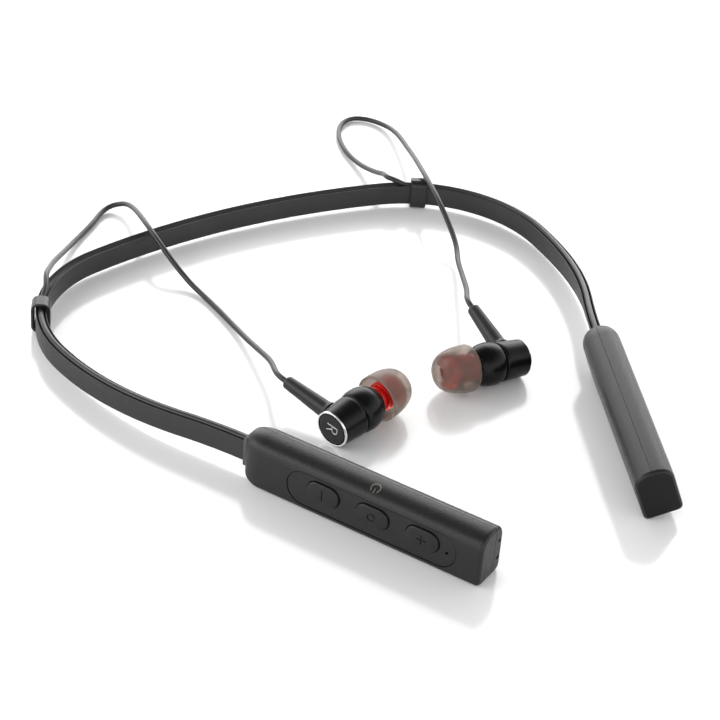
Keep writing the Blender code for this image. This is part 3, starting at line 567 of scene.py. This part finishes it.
def silicone_material():
    """Smoky silicone, with a painted red glow where the red nozzle shows through the inner sleeve."""
    smoke, red = (0.40, 0.335, 0.295), (0.90, 0.04, 0.03)
    # reach of the painted red glow of the nozzle seen through the silicone: radius and front edge, in metres
    nozzle_glow_radius, nozzle_glow_front = (0.0048, 0.0044), (0.0228, 0.0220)
    mat, tree, shader = base_material("smoky_silicone", smoke, 0.30, Transmission_Weight=0.80, IOR=1.14,
                                      Specular_IOR_Level=0.5)
    nodes, links = tree.nodes, tree.links
    place = nodes.new("ShaderNodeTexCoord")
    cloud = noise(tree, place.outputs["Object"], 260.0)
    cloudy = colour_ramp(tree, cloud, scaled(smoke, 0.92), scaled(smoke, 1.08))
    flat = nodes.new("ShaderNodeMapping")
    flat.inputs["Scale"].default_value = (0.0, 1.0, 1.0)
    links.new(place.outputs["Object"], flat.inputs["Vector"])
    radius = nodes.new("ShaderNodeVectorMath")
    radius.operation = "LENGTH"
    links.new(flat.outputs["Vector"], radius.inputs[0])
    split = nodes.new("ShaderNodeSeparateXYZ")
    links.new(place.outputs["Object"], split.inputs["Vector"])
    both = nodes.new("ShaderNodeMath")
    both.operation = "MULTIPLY"
    links.new(map_range(tree, radius.outputs["Value"], nozzle_glow_radius, (0.0, 1.0)), both.inputs[0])
    links.new(map_range(tree, split.outputs["X"], nozzle_glow_front, (0.0, 1.0)), both.inputs[1])
    # mix the nozzle's red into the silicone's colour over the sleeve: painted glow of the nozzle showing
    # through, not a dye
    nozzle_glow_mix = nodes.new("ShaderNodeMix")
    nozzle_glow_mix.data_type = "RGBA"
    links.new(both.outputs["Value"], nozzle_glow_mix.inputs["Factor"])
    links.new(cloudy, nozzle_glow_mix.inputs["A"])
    nozzle_glow_mix.inputs["B"].default_value = (*red, 1.0)
    links.new(nozzle_glow_mix.outputs["Result"], shader.inputs["Base Color"])
    return mat


def make_materials():
    return {
        "pod": textured("pod_satin", (0.0095, 0.0095, 0.0098), 0.40, grain=2300.0, bump=0.55, mottle=160.0,
                        spread=0.10, Specular_IOR_Level=0.34),
        "panel": textured("panel_satin", (0.0105, 0.0105, 0.0109), 0.42, grain=2300.0, bump=0.45,
                          mottle=240.0, Specular_IOR_Level=0.34),
        "button": textured("button_satin", (0.0080, 0.0080, 0.0084), 0.38, grain=2300.0, bump=0.35,
                           mottle=300.0, Specular_IOR_Level=0.34),
        # near-black satin for the plate on the battery pod's end face: painted shade
        "cap": textured("end_shade_satin", (0.0050, 0.0050, 0.0052), 0.34, grain=4300.0, bump=0.06,
                        Specular_IOR_Level=0.2),
        "strap": textured("strap_rubber", (0.020, 0.020, 0.0205), 0.50, grain=2600.0, bump=0.25, mottle=90.0,
                          spread=0.14, Specular_IOR_Level=0.42),
        "loop": textured("loop_plastic", (0.012, 0.012, 0.0125), 0.32, grain=4200.0, bump=0.06,
                         Specular_IOR_Level=0.40),
        "gasket": textured("gasket_rubber", (0.07, 0.07, 0.07), 0.60, grain=3600.0, bump=0.10),
        "cord": textured("cord_rubber", (0.016, 0.016, 0.0165), 0.36, grain=2400.0, bump=0.08, mottle=500.0,
                         Specular_IOR_Level=0.45),
        "stem": textured("stem_rubber", (0.014, 0.014, 0.0145), 0.44, grain=4200.0, bump=0.12,
                         Specular_IOR_Level=0.38),
        "housing": textured("housing_lacquer", (0.0025, 0.0025, 0.0027), 0.27, grain=5200.0, bump=0.0,
                            spread=0.06, rough_spread=0.01, Specular_IOR_Level=0.17),
        "disc": brushed_disc("disc_turned", (0.018, 0.018, 0.019)),
        "silver": textured("bright_trim", (0.86, 0.86, 0.87), 0.16, grain=5200.0, bump=0.0, spread=0.03,
                           rough_spread=0.03, Metallic=1.0),
        "red": textured("nozzle_red", (0.70, 0.010, 0.008), 0.24, grain=3200.0, bump=0.03, spread=0.06),
        "silicone": silicone_material(),
        "steel": textured("inner_steel", (0.55, 0.55, 0.57), 0.32, grain=3000.0, bump=0.05, spread=0.08,
                          stretch=(1.0, 1.0, 6.0), Metallic=1.0),
        "board": board_material(),
        "chip": textured("chip_epoxy", (0.012, 0.012, 0.013), 0.5, grain=4200.0, bump=0.08),
        "cell": textured("cell_foil", (0.42, 0.44, 0.47), 0.34, grain=900.0, bump=0.12, spread=0.10,
                         Metallic=0.7),
        "mark": textured("pale_print", (0.17, 0.15, 0.12), 0.5, grain=3200.0, bump=0.05),
        "letter": textured("letter_silver", (0.62, 0.63, 0.66), 0.34, grain=3200.0, bump=0.04, Metallic=0.4),
    }


# --- Strap and its loops -----------------------------------------------------------------------

def strap_outline():
    """The strap's section: soft lower corners, rolled lips and a round groove."""
    half = STRAP_THICK / 2
    corner, lip = 0.5, 0.17
    points = []
    for sign, start in ((-1, 180), (1, 270)):
        for i in range(5):
            angle = math.radians(start + 90.0 * i / 4)
            points.append((sign * (half - corner) + corner * math.cos(angle),
                           corner + corner * math.sin(angle)))
    groove_start = math.asin(GROOVE_DROP / GROOVE_RADIUS)
    for i in range(5):
        angle = math.radians(150.0 * i / 4)
        points.append((half - lip + lip * math.cos(angle), STRAP_HEIGHT - lip + lip * math.sin(angle)))
    for i in range(1, 12):
        angle = groove_start - (math.pi + 2 * groove_start) * i / 12
        points.append((GROOVE_RADIUS * math.cos(angle),
                       STRAP_HEIGHT - GROOVE_DROP + GROOVE_RADIUS * math.sin(angle)))
    for i in range(5):
        angle = math.radians(30 + 150.0 * i / 4)
        points.append((-half + lip + lip * math.cos(angle), STRAP_HEIGHT - lip + lip * math.sin(angle)))
    return points


def add_strap(mats):
    reach = ARM_LENGTH + STRAP_INSERT - 0.2
    count = 130
    arm = [reach * i / count for i in range(count + 1)]
    stations = [(RIGHT, d) for d in reversed(arm)] + [(LEFT, d) for d in arm[1:]]
    outline = strap_outline()
    rings = [[on_strap(side, d, across, up) for across, up in outline] for side, d in stations]
    strap = make_object("strap_band", loft(rings))
    finish_piece(strap, mats["strap"], nodes=("neck_strap",), angle=60.0)


def add_loop(side, mats):
    name = SIDE_NAMES[side]
    half = STRAP_THICK / 2 + GAP
    high = STRAP_HEIGHT - GROOVE_DROP + CORD_RADIUS + GAP
    hole = rounded_rectangle(half, -GAP, high, 1.0)
    outline = rounded_rectangle(half + LOOP_WALL, -GAP - LOOP_WALL, high + LOOP_WALL, 1.9)
    centre, across_unit, up_unit = strap_frame(side, LOOP_AT[side])
    forward = (strap_frame(side, LOOP_AT[side] + 2)[0] - strap_frame(side, LOOP_AT[side] - 2)[0]).normalized()

    def ring(points, place):
        base = centre + forward * LOOP_LENGTH * (place - 0.5) - up_unit * STRAP_HEIGHT / 2
        return [base + across_unit * across + up_unit * up for across, up in points]

    bm = bmesh.new()
    skin_rings(bm, [ring(outline, 0), ring(outline, 1), ring(hole, 1), ring(hole, 0)], wrap=True)
    loop = make_object(f"{name}_loop", bm)
    finish_piece(loop, mats["loop"], f"{name}_loop", (f"{name}_slider_loop",),
                 bevel=0.22, segments=3)


def strap_entry():
    """Half width, bottom and top of the opening that clears the strap and its cord."""
    low = ENTRY_Z - STRAP_HEIGHT / 2 - GAP
    high = ENTRY_Z + STRAP_HEIGHT / 2 - GROOVE_DROP + CORD_RADIUS + GAP
    return STRAP_THICK / 2 + GAP, low, high


def add_gasket(side, mats):
    name = SIDE_NAMES[side]
    half, low, high = strap_entry()
    rim, back, front = 0.5, -1.3, -0.3
    hole = rounded_rectangle(half, low, high, 0.3)
    outline = rounded_rectangle(half + rim, low - rim, high + rim, 0.7)

    def ring(points, along):
        return [Vector((side * across, -along, up)) for across, up in points]

    bm = bmesh.new()
    skin_rings(bm, [ring(outline, back), ring(outline, front), ring(hole, front), ring(hole, back)],
               wrap=True)
    gasket = make_object(f"{name}_gasket", bm, POD_FRAMES[side])
    finish_piece(gasket, mats["gasket"], nodes=(f"{name}_strap_gasket",), bevel=0.14)


# --- Pods --------------------------------------------------------------------------------------

def pod_solid(side):
    """The whole outer form: a tapered nose, a straight body and a rounded front edge."""
    rings = []
    for i in range(13):
        angle = math.pi / 2 * i / 12
        insets = [inset * (1.0 - math.sin(angle)) for inset in POD_NOSE_INSETS]
        rings.append(pod_section(side, POD_NOSE * (1.0 - math.cos(angle)), insets))
    for along in (12.0, 24.0, 36.0, 48.0, 58.0):
        rings.append(pod_section(side, along))
    for i in range(7):
        angle = math.pi / 2 * i / 6
        inset = POD_END_ROUND * (1.0 - math.cos(angle))
        along = POD_LENGTH - POD_END_ROUND * (1.0 - math.sin(angle))
        rings.append(pod_section(side, along, (inset, inset, inset)))
    return loft(rings)


def pod_hollow(side):
    sizes = dict(wall=POD_WALL, floor_wall=POD_FLOOR_WALL, arch_steps=10, corner_steps=2)
    return loft([
        pod_section(side, 3.2, (1.0, 1.4, 0.6), **sizes),
        pod_section(side, 6.2, **sizes),
        pod_section(side, POD_LENGTH - POD_FLOOR_WALL, **sizes),
    ])


def prism(side, outline, place, depth):
    """An (along, up) outline at a place on the pod, run across it between two depths."""
    rings = []
    for across in depth:
        rings.append([Vector((side * across, -(place[0] + along), place[1] + up)) for along, up in outline])
    return loft(rings)


def pod_box(side, along, across, up):
    low = Vector((min(side * across[0], side * across[1]), -along[1], up[0]))
    high = Vector((max(side * across[0], side * across[1]), -along[0], up[1]))
    return box(low, high)


def add_shell(side, name, node, part, mats, extra=()):
    """One half of a pod: part is 1 for the outer half and -1 for the inner."""
    shell = make_object(name, pod_solid(side), POD_FRAMES[side])
    reach = POD_HALF + BEYOND
    edge = POD_SPLIT[side] + part * SEAM[side] / 2
    across = (-reach, edge) if part > 0 else (edge, reach)
    half, low, high = strap_entry()
    cuts = [pod_hollow(side), pod_box(side, (-1.0, 4.5), (-half, half), (low, high))]
    cuts += list(extra)
    cuts.append(pod_box(side, (-BEYOND, POD_LENGTH + BEYOND), across, (-BEYOND, POD_TOP + BEYOND)))
    carve(shell, cuts)
    finish_piece(shell, mats["pod"], nodes=(node,), bevel=0.13, segments=3, angle=40.0)


def add_control_pod(mats):
    side = RIGHT
    panel_at = ((PANEL_FROM + PANEL_TO) / 2, PANEL_Z)
    length = PANEL_TO - PANEL_FROM
    rim, ledge_ends, ledge_sides = 0.16, 1.2, 0.6
    pocket = prism(side, stadium(length + 2 * rim, PANEL_HEIGHT + 2 * rim), panel_at,
                   (LEDGE_FRONT, POD_HALF + 1.0))
    window = prism(side, stadium(length - 2 * ledge_ends, PANEL_HEIGHT - 2 * ledge_sides), panel_at,
                   (2.2, LEDGE_FRONT + 0.5))
    add_shell(side, "control_pod_shell", "right_pod_outer_shell", 1, mats, (pocket, window))
    add_shell(side, "control_pod_cover", "right_pod_inner_cover", -1, mats, cover_cuts(side))
    add_panel(side, panel_at, length, mats)
    for label, along in BUTTON_AT:
        add_button(side, label, along, mats)
    add_flap(side, mats)
    add_power_mark(side, mats)


def cover_cuts(side):
    """The flap's recess, the charging port, a shallow second line and the flap's two finger slots."""
    low, high = PORT_Z - FLAP_HEIGHT / 2, PORT_Z + FLAP_HEIGHT / 2
    front = POD_LENGTH + BEYOND
    recess = pod_box(side, (FLAP_FROM - 0.2, front), (-POD_HALF - 1.0, FLAP_BACK + 0.2),
                     (low - 0.28, high + 0.28))
    port = prism(side, stadium(8.2, 3.4), (PORT_AT, PORT_Z), (-POD_HALF, -2.0))
    line = pod_box(side, (5.0, front), (-2.42, -2.3), (arch_height(2.36) - 0.1, POD_TOP + 1.0))
    slots = [pod_box(side, (POD_LENGTH - 3.2, front), (-4.0, -2.6), span)
             for span in ((low - 0.9, low - 0.2), (high + 0.2, high + 0.9))]
    return [recess, port, line] + slots


def add_panel(side, panel_at, length, mats):
    outline = stadium(length, PANEL_HEIGHT, 28)
    panel = make_object("control_panel", prism(side, outline, panel_at, (PANEL_BACK, PANEL_FRONT)),
                        POD_FRAMES[side])
    through = (3.0, 6.0)
    hole = stadium(BUTTON_LENGTH + 2 * BUTTON_GAP, BUTTON_HEIGHT + 2 * BUTTON_GAP)
    holes = [prism(side, hole, (along, BUTTON_Z), through) for _, along in BUTTON_AT]
    holes.append(prism(side, circle(0.42, 24), (MIC_AT, MIC_Z), through))
    carve(panel, holes)
    finish_piece(panel, mats["panel"], nodes=("button_panel",), bevel=0.16, segments=3)


def button_marks(side, label, along):
    """Sunk strokes: an upright bar, a ring or a cross."""
    depth = (BUTTON_FRONT - MARK_DEPTH, BUTTON_FRONT + 0.5)
    place = (along, BUTTON_Z)
    bar = stadium(0.30, 0.299)
    upright = [(x, z + (1.25 if z > 0 else -1.25)) for x, z in bar]
    level = [(x + (1.1 if x > 0 else -1.1), z) for x, z in bar]
    if label == "minus":
        return [prism(side, upright, place, depth)]
    if label == "plus":
        short = [(x, z - 0.15 if z > 0 else z + 0.15) for x, z in upright]
        return [prism(side, short, place, depth), prism(side, level, place, depth)]
    outer, inner = 1.08, 0.78
    section = ((depth[0], outer), (depth[0], inner), (depth[1], inner), (depth[1], outer))
    bm = bmesh.new()
    skin_rings(bm, [button_ring(side, across, along, circle(radius, 40)) for across, radius in section],
               wrap=True)
    return [bm]


def button_ring(side, across, along, outline):
    return [Vector((side * across, -(along + x), BUTTON_Z + z)) for x, z in outline]


def button_outline(inset):
    return stadium(BUTTON_LENGTH - 2 * inset, BUTTON_HEIGHT - 2 * inset)


def add_button(side, label, along, mats):
    """A key with a wide foot behind the panel, a rounded edge and a slightly domed face."""
    foot, neck = stadium(10.6, 4.0), stadium(7.8, 3.6)
    steps = [(3.3, foot), (3.75, foot), (3.75, neck), (4.05, neck), (4.05, button_outline(0.0))]
    edge = BUTTON_FRONT - 0.1
    for i in range(7):
        angle = math.pi / 2 * i / 6
        steps.append((edge - BUTTON_ROUND * (1.0 - math.sin(angle)),
                      button_outline(BUTTON_ROUND * (1.0 - math.cos(angle)))))
    for inset, lift in ((0.9, 0.05), (1.5, 0.08), (2.1, 0.1)):
        steps.append((edge + lift, button_outline(inset)))
    rings = [button_ring(side, across, along, outline) for across, outline in steps]
    button = make_object(f"{label}_key", loft(rings), POD_FRAMES[side])
    carve(button, button_marks(side, label, along))
    finish_piece(button, mats["button"], f"{label}_button", (f"{label}_button",),
                 angle=32.0)


def add_flap(side, mats):
    flap = make_object("port_flap", pod_solid(side), POD_FRAMES[side])
    keep = pod_box(side, (FLAP_FROM, POD_LENGTH + BEYOND), (-POD_HALF - 1.0, FLAP_BACK),
                   (PORT_Z - FLAP_HEIGHT / 2, PORT_Z + FLAP_HEIGHT / 2))
    carve(flap, [keep], "INTERSECT")
    finish_piece(flap, mats["stem"], "charging_flap", ("charging_port_flap",),
                 bevel=0.16, segments=3)


def add_painted_end_shade(side, mats):
    """A near-black plate over the battery pod's front end face: painted shade for the end face in shadow, not
    a separate cap.
    """
    rings = []
    for along, inset in ((POD_LENGTH - 0.5, 0.62), (POD_LENGTH + 0.02, 0.62), (POD_LENGTH + 0.08, 0.70),
                         (POD_LENGTH + 0.10, 0.85)):
        rings.append(pod_section(side, along, (inset, inset, inset)))
    cap = make_object("battery_pod_end_shade", loft(rings), POD_FRAMES[side])
    finish_piece(cap, mats["cap"])


def arch_height(across):
    """Height of the pod's arch at a place across it."""
    share = min(abs(across) / POD_HALF, 0.999)
    return POD_ARCH_BASE + (POD_TOP - POD_ARCH_BASE) * (1.0 - share ** POD_ARCH_POWER) ** (1 / POD_ARCH_POWER)


def strokes(name, lines, radius, mat, matrix):
    """Thin raised strokes along lines of points in millimetres."""
    curve = bpy.data.curves.new(name, "CURVE")
    curve.dimensions = "3D"
    curve.bevel_depth = radius * MM
    curve.bevel_resolution = 3
    curve.use_fill_caps = True
    for line in lines:
        spline = curve.splines.new("POLY")
        spline.points.add(len(line) - 1)
        for spline_point, point in zip(spline.points, line):
            spline_point.co = (*(Vector(point) * MM), 1.0)
    curve.materials.append(mat)
    obj = bpy.data.objects.new(name, curve)
    bpy.context.scene.collection.objects.link(obj)
    obj.matrix_world = metres(matrix)
    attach(obj, MAIN_BODY)


def add_power_mark(side, mats):
    """A plain power symbol printed on the arch above the middle button."""
    centre_across, along, radius, gap = 2.35, 35.6, 1.15, 38

    def on_arch(x, y):
        across = centre_across + y
        return (side * across, -(along + x), arch_height(across) - 0.045)

    ring = [on_arch(radius * math.cos(a), radius * math.sin(a))
            for a in [math.radians(90 + gap + (360 - 2 * gap) * i / 36) for i in range(37)]]
    bar = [on_arch(0.0, y) for y in (0.25, 0.6, 0.95, 1.3)]
    strokes("power_mark", [ring, bar], 0.12, mats["mark"], POD_FRAMES[side])


# --- Earbuds -----------------------------------------------------------------------------------

def add_earbud(side, mats):
    """The turned pieces, each from a profile of (along, radius) points, then the stem and side mark."""
    name = SIDE_NAMES[side]
    place = bud_matrix(side)

    def add(label, bm, mat, node, body=MAIN_BODY, angle=35.0):
        piece = make_object(f"{name}_{label}", bm, place)
        finish_piece(piece, mats[mat], body, (f"{name}_{node}",), angle=angle)

    disc = [(0.12, 0.05), (0.04, 1.2), (0.0, 3.4), (0.0, 4.0), (0.06, 4.1), (0.7, 4.1)]
    add("disc_face", turned_solid(disc), "disc", "rear_disc")
    trim = soften([(-0.1, 4.36), (-0.1, 4.68), (0.16, 4.82), (0.9, 4.82), (0.9, 4.36)], 0.08)
    add("trim_bezel", turned(trim), "silver", "trim_ring")
    rear = [(0.24, 4.86), (3.0, 5.0), (5.0, 5.14), (6.9, 5.28), (7.62, 5.2), (7.62, 4.3), (2.4, 4.1),
            (2.4, 0.6), (1.2, 0.6), (1.2, 4.83), (0.24, 4.83)]
    add("rear_cup", turned(soften(rear, 0.3)), "housing", "rear_housing")
    front = [(7.8, 4.8), (7.95, 5.14), (8.6, 5.44), (9.6, 5.64), (10.8, 5.70), (12.2, 5.58), (13.6, 5.14),
             (14.8, 4.5), (15.4, 3.9), (15.5, 3.6), (15.5, 2.1), (14.4, 2.1), (13.0, 3.9), (11.6, 4.3),
             (7.8, 4.3)]
    add("front_barrel", turned(soften(front, 0.5)), "housing", "front_housing", angle=50.0)
    nozzle = [(13.0, 1.75), (15.7, 1.75), (15.7, 3.5), (16.6, 3.5), (16.6, 2.7), (19.5, 2.7), (20.0, 2.85),
              (20.9, 2.85), (20.9, 1.25), (13.0, 1.25)]
    add("red_nozzle", turned(soften(nozzle, 0.15)), "red", "nozzle")
    add("silicone_tip", turned(tip_profile(), 120), "silicone", "ear_tip",
        f"{name}_tip", 60.0)
    add_stem(side, name, place, mats)
    add_letter(side, name, place, mats)


def tip_profile():
    """A crowned dome that rolls in at the front, with a thin skirt and an inner sleeve."""
    length = 9.4
    dome = []
    for i in range(29):
        share = i / 28
        dome.append((TIP_START + length * share, 2.5 + (TIP_RADIUS - 2.5) * math.sqrt(1.0 - share ** 2.7)))
    rim = [(TIP_START + 0.02, TIP_RADIUS - 0.42), (TIP_START, TIP_RADIUS - 0.25),
           (TIP_START + 0.06, TIP_RADIUS - 0.09)]
    front = TIP_START + length
    tail = [(front, 2.5), (front - 0.1, 2.3), (front - 1.0, 1.95), (front - 3.6, 1.9), (front - 3.6, 3.12),
            (17.6, 3.12), (17.6, 3.75), (21.4, 3.78), (22.6, 4.05), (22.7, 4.5), (21.6, 5.0), (19.0, 5.4),
            (TIP_START + 0.1, 5.62)]
    return rim + dome[1:] + soften_open(tail, 0.35)


def soften_open(points, radius, steps=4):
    """Round the inner corners of an open line."""
    result = [points[0]]
    for before, corner, after in zip(points, points[1:], points[2:]):
        here = Vector(corner)
        start = here.lerp(Vector(before), min(0.48, radius / (Vector(before) - here).length))
        end = here.lerp(Vector(after), min(0.48, radius / (Vector(after) - here).length))
        for k in range(steps + 1):
            t = k / steps
            result.append(tuple(start * (1 - t) ** 2 + here * 2 * t * (1 - t) + end * t * t))
    return result + [points[-1]]


def add_stem(side, name, place, mats):
    """The moulded strain relief: a flared foot on the housing, a long taper and a rounded lip."""
    direction = stem_direction(side)
    across = Vector((1.0, 0.0, 0.0))
    up = direction.cross(across)
    bore = CORD_RADIUS + 0.12
    outer = [(4.6, 2.75), (5.0, 2.6), (5.35, 2.34), (5.9, 2.22), (9.0, 2.12), (13.0, 1.92), (17.6, 1.74),
             (18.7, 1.66), (STEM_TO, 1.4)]
    profile = soften(outer + [(STEM_TO, bore), (9.0, bore), (9.0, 0.4), (4.6, 0.4)], 0.28)
    rings = []
    for distance, radius in profile:
        rings.append([Vector((STEM_AT, 0, 0)) + direction * distance + across * x + up * y
                      for x, y in circle(radius, 64)])
    bm = bmesh.new()
    skin_rings(bm, rings, wrap=True)
    stem = make_object(f"{name}_stem", bm, place)
    finish_piece(stem, mats["stem"], nodes=(f"{name}_cord_relief",), angle=50.0)


def add_letter(side, name, place, mats):
    """The side letter on the rear disc, R or L, upright when the stem hangs down."""
    up = -stem_direction(side)
    right = Vector((1.0, 0.0, 0.0)).cross(up)
    tall, wide = 3.2, 1.9
    if side == LEFT:
        lines = [[(-wide / 2, tall / 2), (-wide / 2, -tall / 2), (wide / 2, -tall / 2)]]
    else:
        bowl = [(-wide / 2, tall / 2), (0.15, tall / 2)]
        bowl += [(0.15 + 0.8 * math.sin(a), tall / 2 - 0.8 + 0.8 * math.cos(a))
                 for a in [math.radians(12 + 168 * i / 14) for i in range(14)]]
        bowl += [(0.15, tall / 2 - 1.6), (-wide / 2, tall / 2 - 1.6)]
        lines = [[(-wide / 2, -tall / 2), (-wide / 2, tall / 2)], bowl,
                 [(0.05, tall / 2 - 1.6), (wide / 2, -tall / 2)]]
    depth = Vector((0.09, 0.0, 0.0))
    lines = [[right * x + up * y + depth for x, y in line] for line in lines]
    strokes(f"{name}_side_mark", lines, 0.15, mats["letter"], place)


# --- Inner pieces, floor and lights ------------------------------------------------------------

INNER = {
    "memory_wire": "steel", "right_strap_anchor": "steel", "left_strap_anchor": "steel",
    "minus_switch": "steel", "centre_switch": "steel", "plus_switch": "steel", "circuit_board": "board",
    "radio_chip": "chip", "microphone": "steel", "charging_socket": "steel",
    "circuit_board_screw_1": "steel", "circuit_board_screw_2": "steel", "battery_cell": "cell",
    "battery_board": "board", "right_driver": "steel", "left_driver": "steel",
    "right_nozzle_mesh": "steel", "left_nozzle_mesh": "steel",
}


def dress_inner(mats):
    for node, label in INNER.items():
        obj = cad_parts[node]
        obj.data.materials.clear()
        obj.data.materials.append(mats[label])


def add_floor():
    bm = bmesh.new()
    bmesh.ops.create_grid(bm, x_segments=1, y_segments=1, size=6000.0)
    floor = make_object("studio_floor", bm)
    floor.location.z = -0.00003
    mat, tree, shader = base_material("studio_floor", (0.93, 0.93, 0.93), 0.16, Specular_IOR_Level=0.9)
    patches = tree.nodes.new("ShaderNodeTexNoise")
    patches.inputs["Scale"].default_value = 3.0
    gloss = map_range(tree, patches.outputs["Fac"], (0.0, 1.0), (0.14, 0.19))
    tree.links.new(gloss, shader.inputs["Roughness"])
    floor.data.materials.append(mat)


def add_light(name, place, size, power):
    """A rectangular softbox aimed at the origin."""
    data = bpy.data.lights.new(name, "AREA")
    data.shape = "RECTANGLE"
    data.size, data.size_y = size
    data.energy = power
    light = bpy.data.objects.new(name, data)
    bpy.context.scene.collection.objects.link(light)
    light.location = place
    light.rotation_euler = (-Vector(place)).to_track_quat("-Z", "Y").to_euler()


def add_lighting():
    """A tent that is dark overhead, a large softbox low behind and a weak one at the left."""
    world = bpy.data.worlds.new("studio")
    bpy.context.scene.world = world
    world.use_nodes = True
    tree = world.node_tree
    nodes, links = tree.nodes, tree.links
    place = nodes.new("ShaderNodeTexCoord")
    split = nodes.new("ShaderNodeSeparateXYZ")
    links.new(place.outputs["Generated"], split.inputs["Vector"])
    sky = colour_ramp(tree, split.outputs["Z"], (0.95, 0.95, 0.95), (0.10, 0.10, 0.10), (0.40, 0.82))
    links.new(sky, nodes["Background"].inputs["Color"])
    nodes["Background"].inputs["Strength"].default_value = 2.0
    bpy.context.scene.view_settings.view_transform = "Standard"
    add_light("back_softbox", (0.52, 0.74, 0.46), (1.2, 0.6), 6.0)
    add_light("left_softbox", (-0.62, 0.22, 0.36), (0.6, 0.4), 1.8)


def main():
    add_camera()
    mats = make_materials()
    for side in (RIGHT, LEFT):
        add_cord(side, mats["cord"])
    add_strap(mats)
    for side in (RIGHT, LEFT):
        add_loop(side, mats)
        add_gasket(side, mats)
        add_earbud(side, mats)
    add_control_pod(mats)
    add_shell(LEFT, "battery_pod_shell", "left_pod_outer_shell", 1, mats)
    add_shell(LEFT, "battery_pod_cover", "left_pod_inner_shell", -1, mats)
    add_painted_end_shade(LEFT, mats)
    dress_inner(mats)
    add_floor()
    add_lighting()


def corners(bounds):
    return [[float(value) for value in corner] for corner in bounds]


main()
